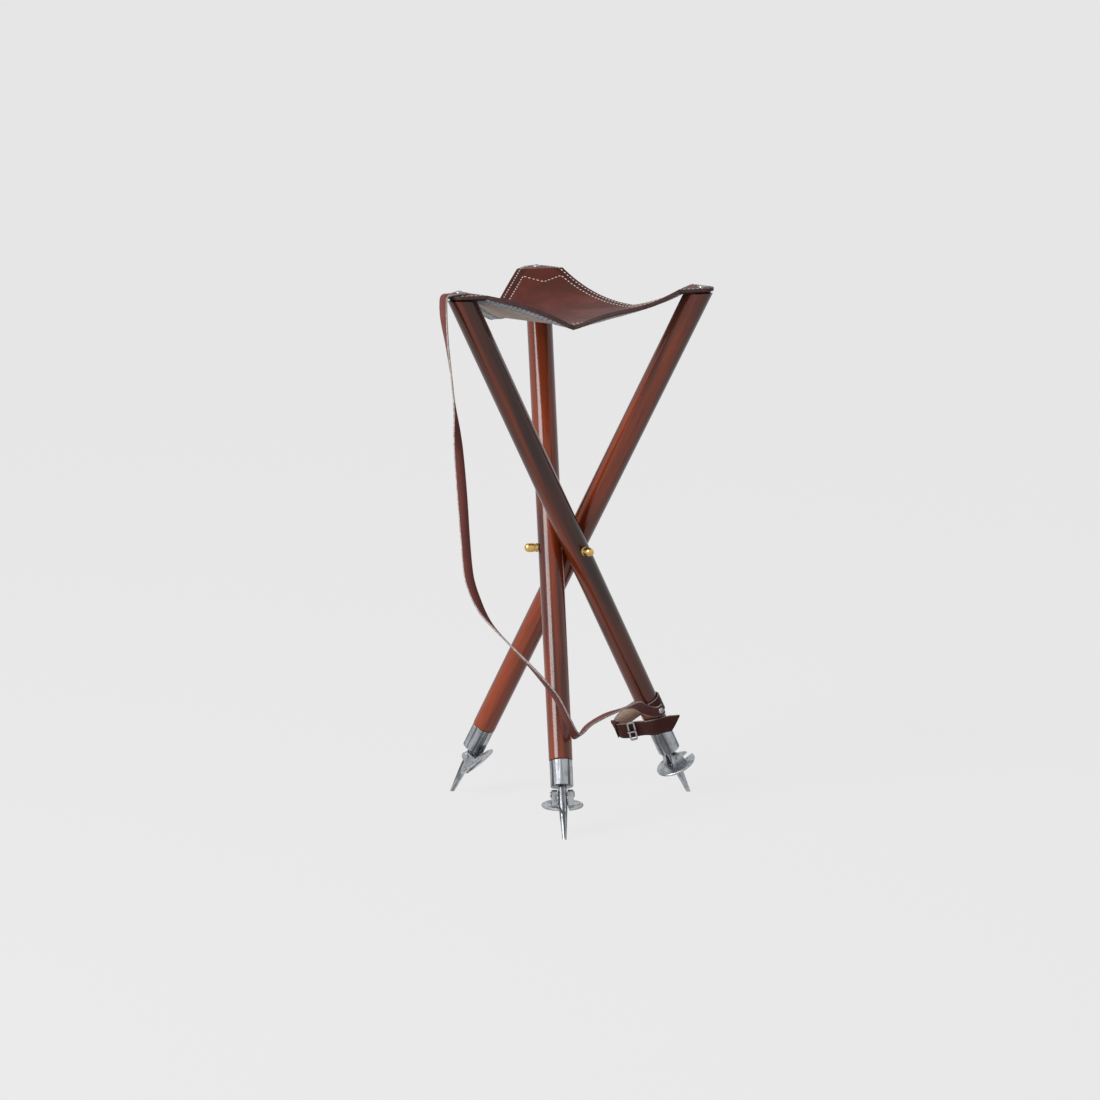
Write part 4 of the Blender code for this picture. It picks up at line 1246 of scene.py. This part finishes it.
class STOOL_OT_closing_strap(bpy.types.Operator):
    """Closing strap round the foot of leg a, with its keeper and buckle"""

    bl_idname = "stool.closing_strap"
    bl_label = "Closing strap"

    def execute(self, context):
        leather = settings(context).leather
        shade, inside = leather.strap, leather.strap_flesh
        hair = leather_finish("close_grain", toned(shade, 0.45), toned(shade, 0.84), 0.42, 0.5)
        flesh = leather_finish("close_flesh", inside, toned(inside, 1.4), 0.75, 0.6)
        edge = cut_edge_finish("close_edge", toned(leather.strap_edge_and_highlight, 0.45))
        bm = strap(close_frames(), CLOSE_WIDTH, STRAP_T, CLOSE_TIP)
        piece = as_piece("close_strap", bm, [hair, flesh, edge], 60.0)
        stands_for(piece, "leg_a", "strap_leather", "closing_strap")
        piece = refined("strap_keeper", "keeper", hair, 0.0003, 2)
        stands_for(piece, "leg_a", "strap_leather", "strap_keeper")
        metal = settings(context).metal
        steel = metal_finish("buckle_steel", metal.steel, 0.18, 0.3)
        piece = refined("buckle_frame", "buckle", steel, 0.0008)
        stands_for(piece, "leg_a", "steel", "buckle_frame")
        piece = refined("buckle_prong", "prong_wire", steel, 0.0004, 2)
        stands_for(piece, "prong", "steel", "buckle_prong")
        return {"FINISHED"}


def set_camera(context, lens):
    """The viewpoint of the picture, from its three directions."""
    data = bpy.data.cameras.new("picture")
    data.sensor_width = 36.0
    data.lens = lens
    data.clip_end = 200.0
    camera = bpy.data.objects.new("picture", data)
    context.scene.collection.objects.link(camera)
    turn = Matrix((VIEW_RIGHT, VIEW_UP, VIEW_BACK)).transposed().to_4x4()
    camera.matrix_world = Matrix.Translation(HUB + VIEW_FROM) @ turn
    context.scene.camera = camera


def set_key_lamp(context, power):
    """One large softbox at the front left."""
    data = bpy.data.lights.new("key", "AREA")
    data.shape = "RECTANGLE"
    data.size, data.size_y = KEY_SIZE
    data.energy = power
    lamp = bpy.data.objects.new("key", data)
    context.scene.collection.objects.link(lamp)
    lamp.location = KEY_PLACE
    lamp.rotation_euler = (KEY_AIM - KEY_PLACE).to_track_quat("-Z", "Y").to_euler()


def seen_rays(tree):
    """1 for what the camera, a reflection or a clear piece shows, 0 for what lights the object."""
    rays = tree.nodes.new("ShaderNodeLightPath").outputs
    seen = Wire(tree, rays["Is Camera Ray"]) + Wire(tree, rays["Is Glossy Ray"])
    return seen + Wire(tree, rays["Is Transmission Ray"])


def set_floor(stage):
    """Pale floor: glows in its own colour where it is seen, with some of the object's shadow left."""
    bm = bmesh.new()
    bmesh.ops.create_grid(bm, x_segments=1, y_segments=1, size=FLOOR_HALF)
    bmesh.ops.translate(bm, verts=bm.verts, vec=(0, 0, -FLOOR_DROP))
    material, shader, where = new_finish("pale_floor", Roughness=0.9, Specular_IOR_Level=0.1)
    shader.inputs["Base Color"].default_value = (*stage.bounce, 1.0)
    tree = material.node_tree
    glow = where.node("ShaderNodeEmission", None, {"Color": (*stage.floor, 1.0), "Strength": 1.0})
    lit = Wire(tree, shader.outputs[0])
    both = where.node("ShaderNodeMixShader", None, {0: seen_rays(tree) * FLOOR_GLOW, 1: lit, 2: glow})
    tree.links.new(both.socket, tree.nodes["Material Output"].inputs["Surface"])
    as_piece("floor", bm, [material])


def set_world(context, stage):
    """Even fill light, which shows as the floor's colour."""
    world = bpy.data.worlds.new("studio")
    context.scene.world = world
    world.use_nodes = True
    tree = world.node_tree
    light = tree.nodes["Background"]
    light.inputs["Color"].default_value = (1.0, 1.0, 1.0, 1.0)
    light.inputs["Strength"].default_value = stage.fill
    seen = seen_rays(tree)
    pale = seen.node("ShaderNodeBackground", None, {"Color": (*stage.floor, 1.0), "Strength": 1.0})
    values = {0: seen, 1: Wire(tree, light.outputs[0]), 2: pale}
    both = seen.node("ShaderNodeMixShader", None, values)
    tree.links.new(both.socket, tree.nodes["World Output"].inputs["Surface"])


class STOOL_OT_stage(bpy.types.Operator):
    """Pale floor, soft studio light and the picture's camera"""

    bl_idname = "stool.stage"
    bl_label = "Stage"

    def execute(self, context):
        stage = settings(context).stage
        set_camera(context, stage.lens)
        context.scene.view_settings.view_transform = "Standard"
        set_floor(stage)
        set_world(context, stage)
        set_key_lamp(context, stage.key)
        return {"FINISHED"}


OPERATORS = (
    STOOL_OT_stage,
    STOOL_OT_carrying_strap,
    STOOL_OT_leg_rods,
    STOOL_OT_stud_and_nuts,
    STOOL_OT_feet,
    STOOL_OT_screws,
    STOOL_OT_seat,
    STOOL_OT_closing_strap,
)


class STOOL_PT_pieces(bpy.types.Panel):
    """The stool's pieces"""

    bl_idname = "STOOL_PT_pieces"
    bl_label = "Tripod stool"
    bl_space_type = "VIEW_3D"
    bl_region_type = "UI"
    bl_category = "Stool"

    def draw(self, context):
        for operator in OPERATORS:
            self.layout.operator(operator.bl_idname)
        for group in ("wood", "metal", "leather", "stage"):
            box = self.layout.box()
            values = getattr(settings(context), group)
            for name in values.__annotations__:
                box.prop(values, name)


CLASSES = (WoodSettings, MetalSettings, LeatherSettings, StageSettings, StoolSettings)
CLASSES += OPERATORS + (STOOL_PT_pieces,)


def register():
    for cls in CLASSES:
        bpy.utils.register_class(cls)
    bpy.types.Scene.stool = PointerProperty(type=StoolSettings)


def unregister():
    del bpy.types.Scene.stool
    for cls in reversed(CLASSES):
        bpy.utils.unregister_class(cls)


def main():
    register()
    bpy.ops.stool.stage()
    bpy.ops.stool.carrying_strap()
    bpy.ops.stool.leg_rods()
    bpy.ops.stool.stud_and_nuts()
    bpy.ops.stool.feet()
    bpy.ops.stool.screws()
    bpy.ops.stool.seat()
    bpy.ops.stool.closing_strap()


if __name__ == "__main__":
    main()
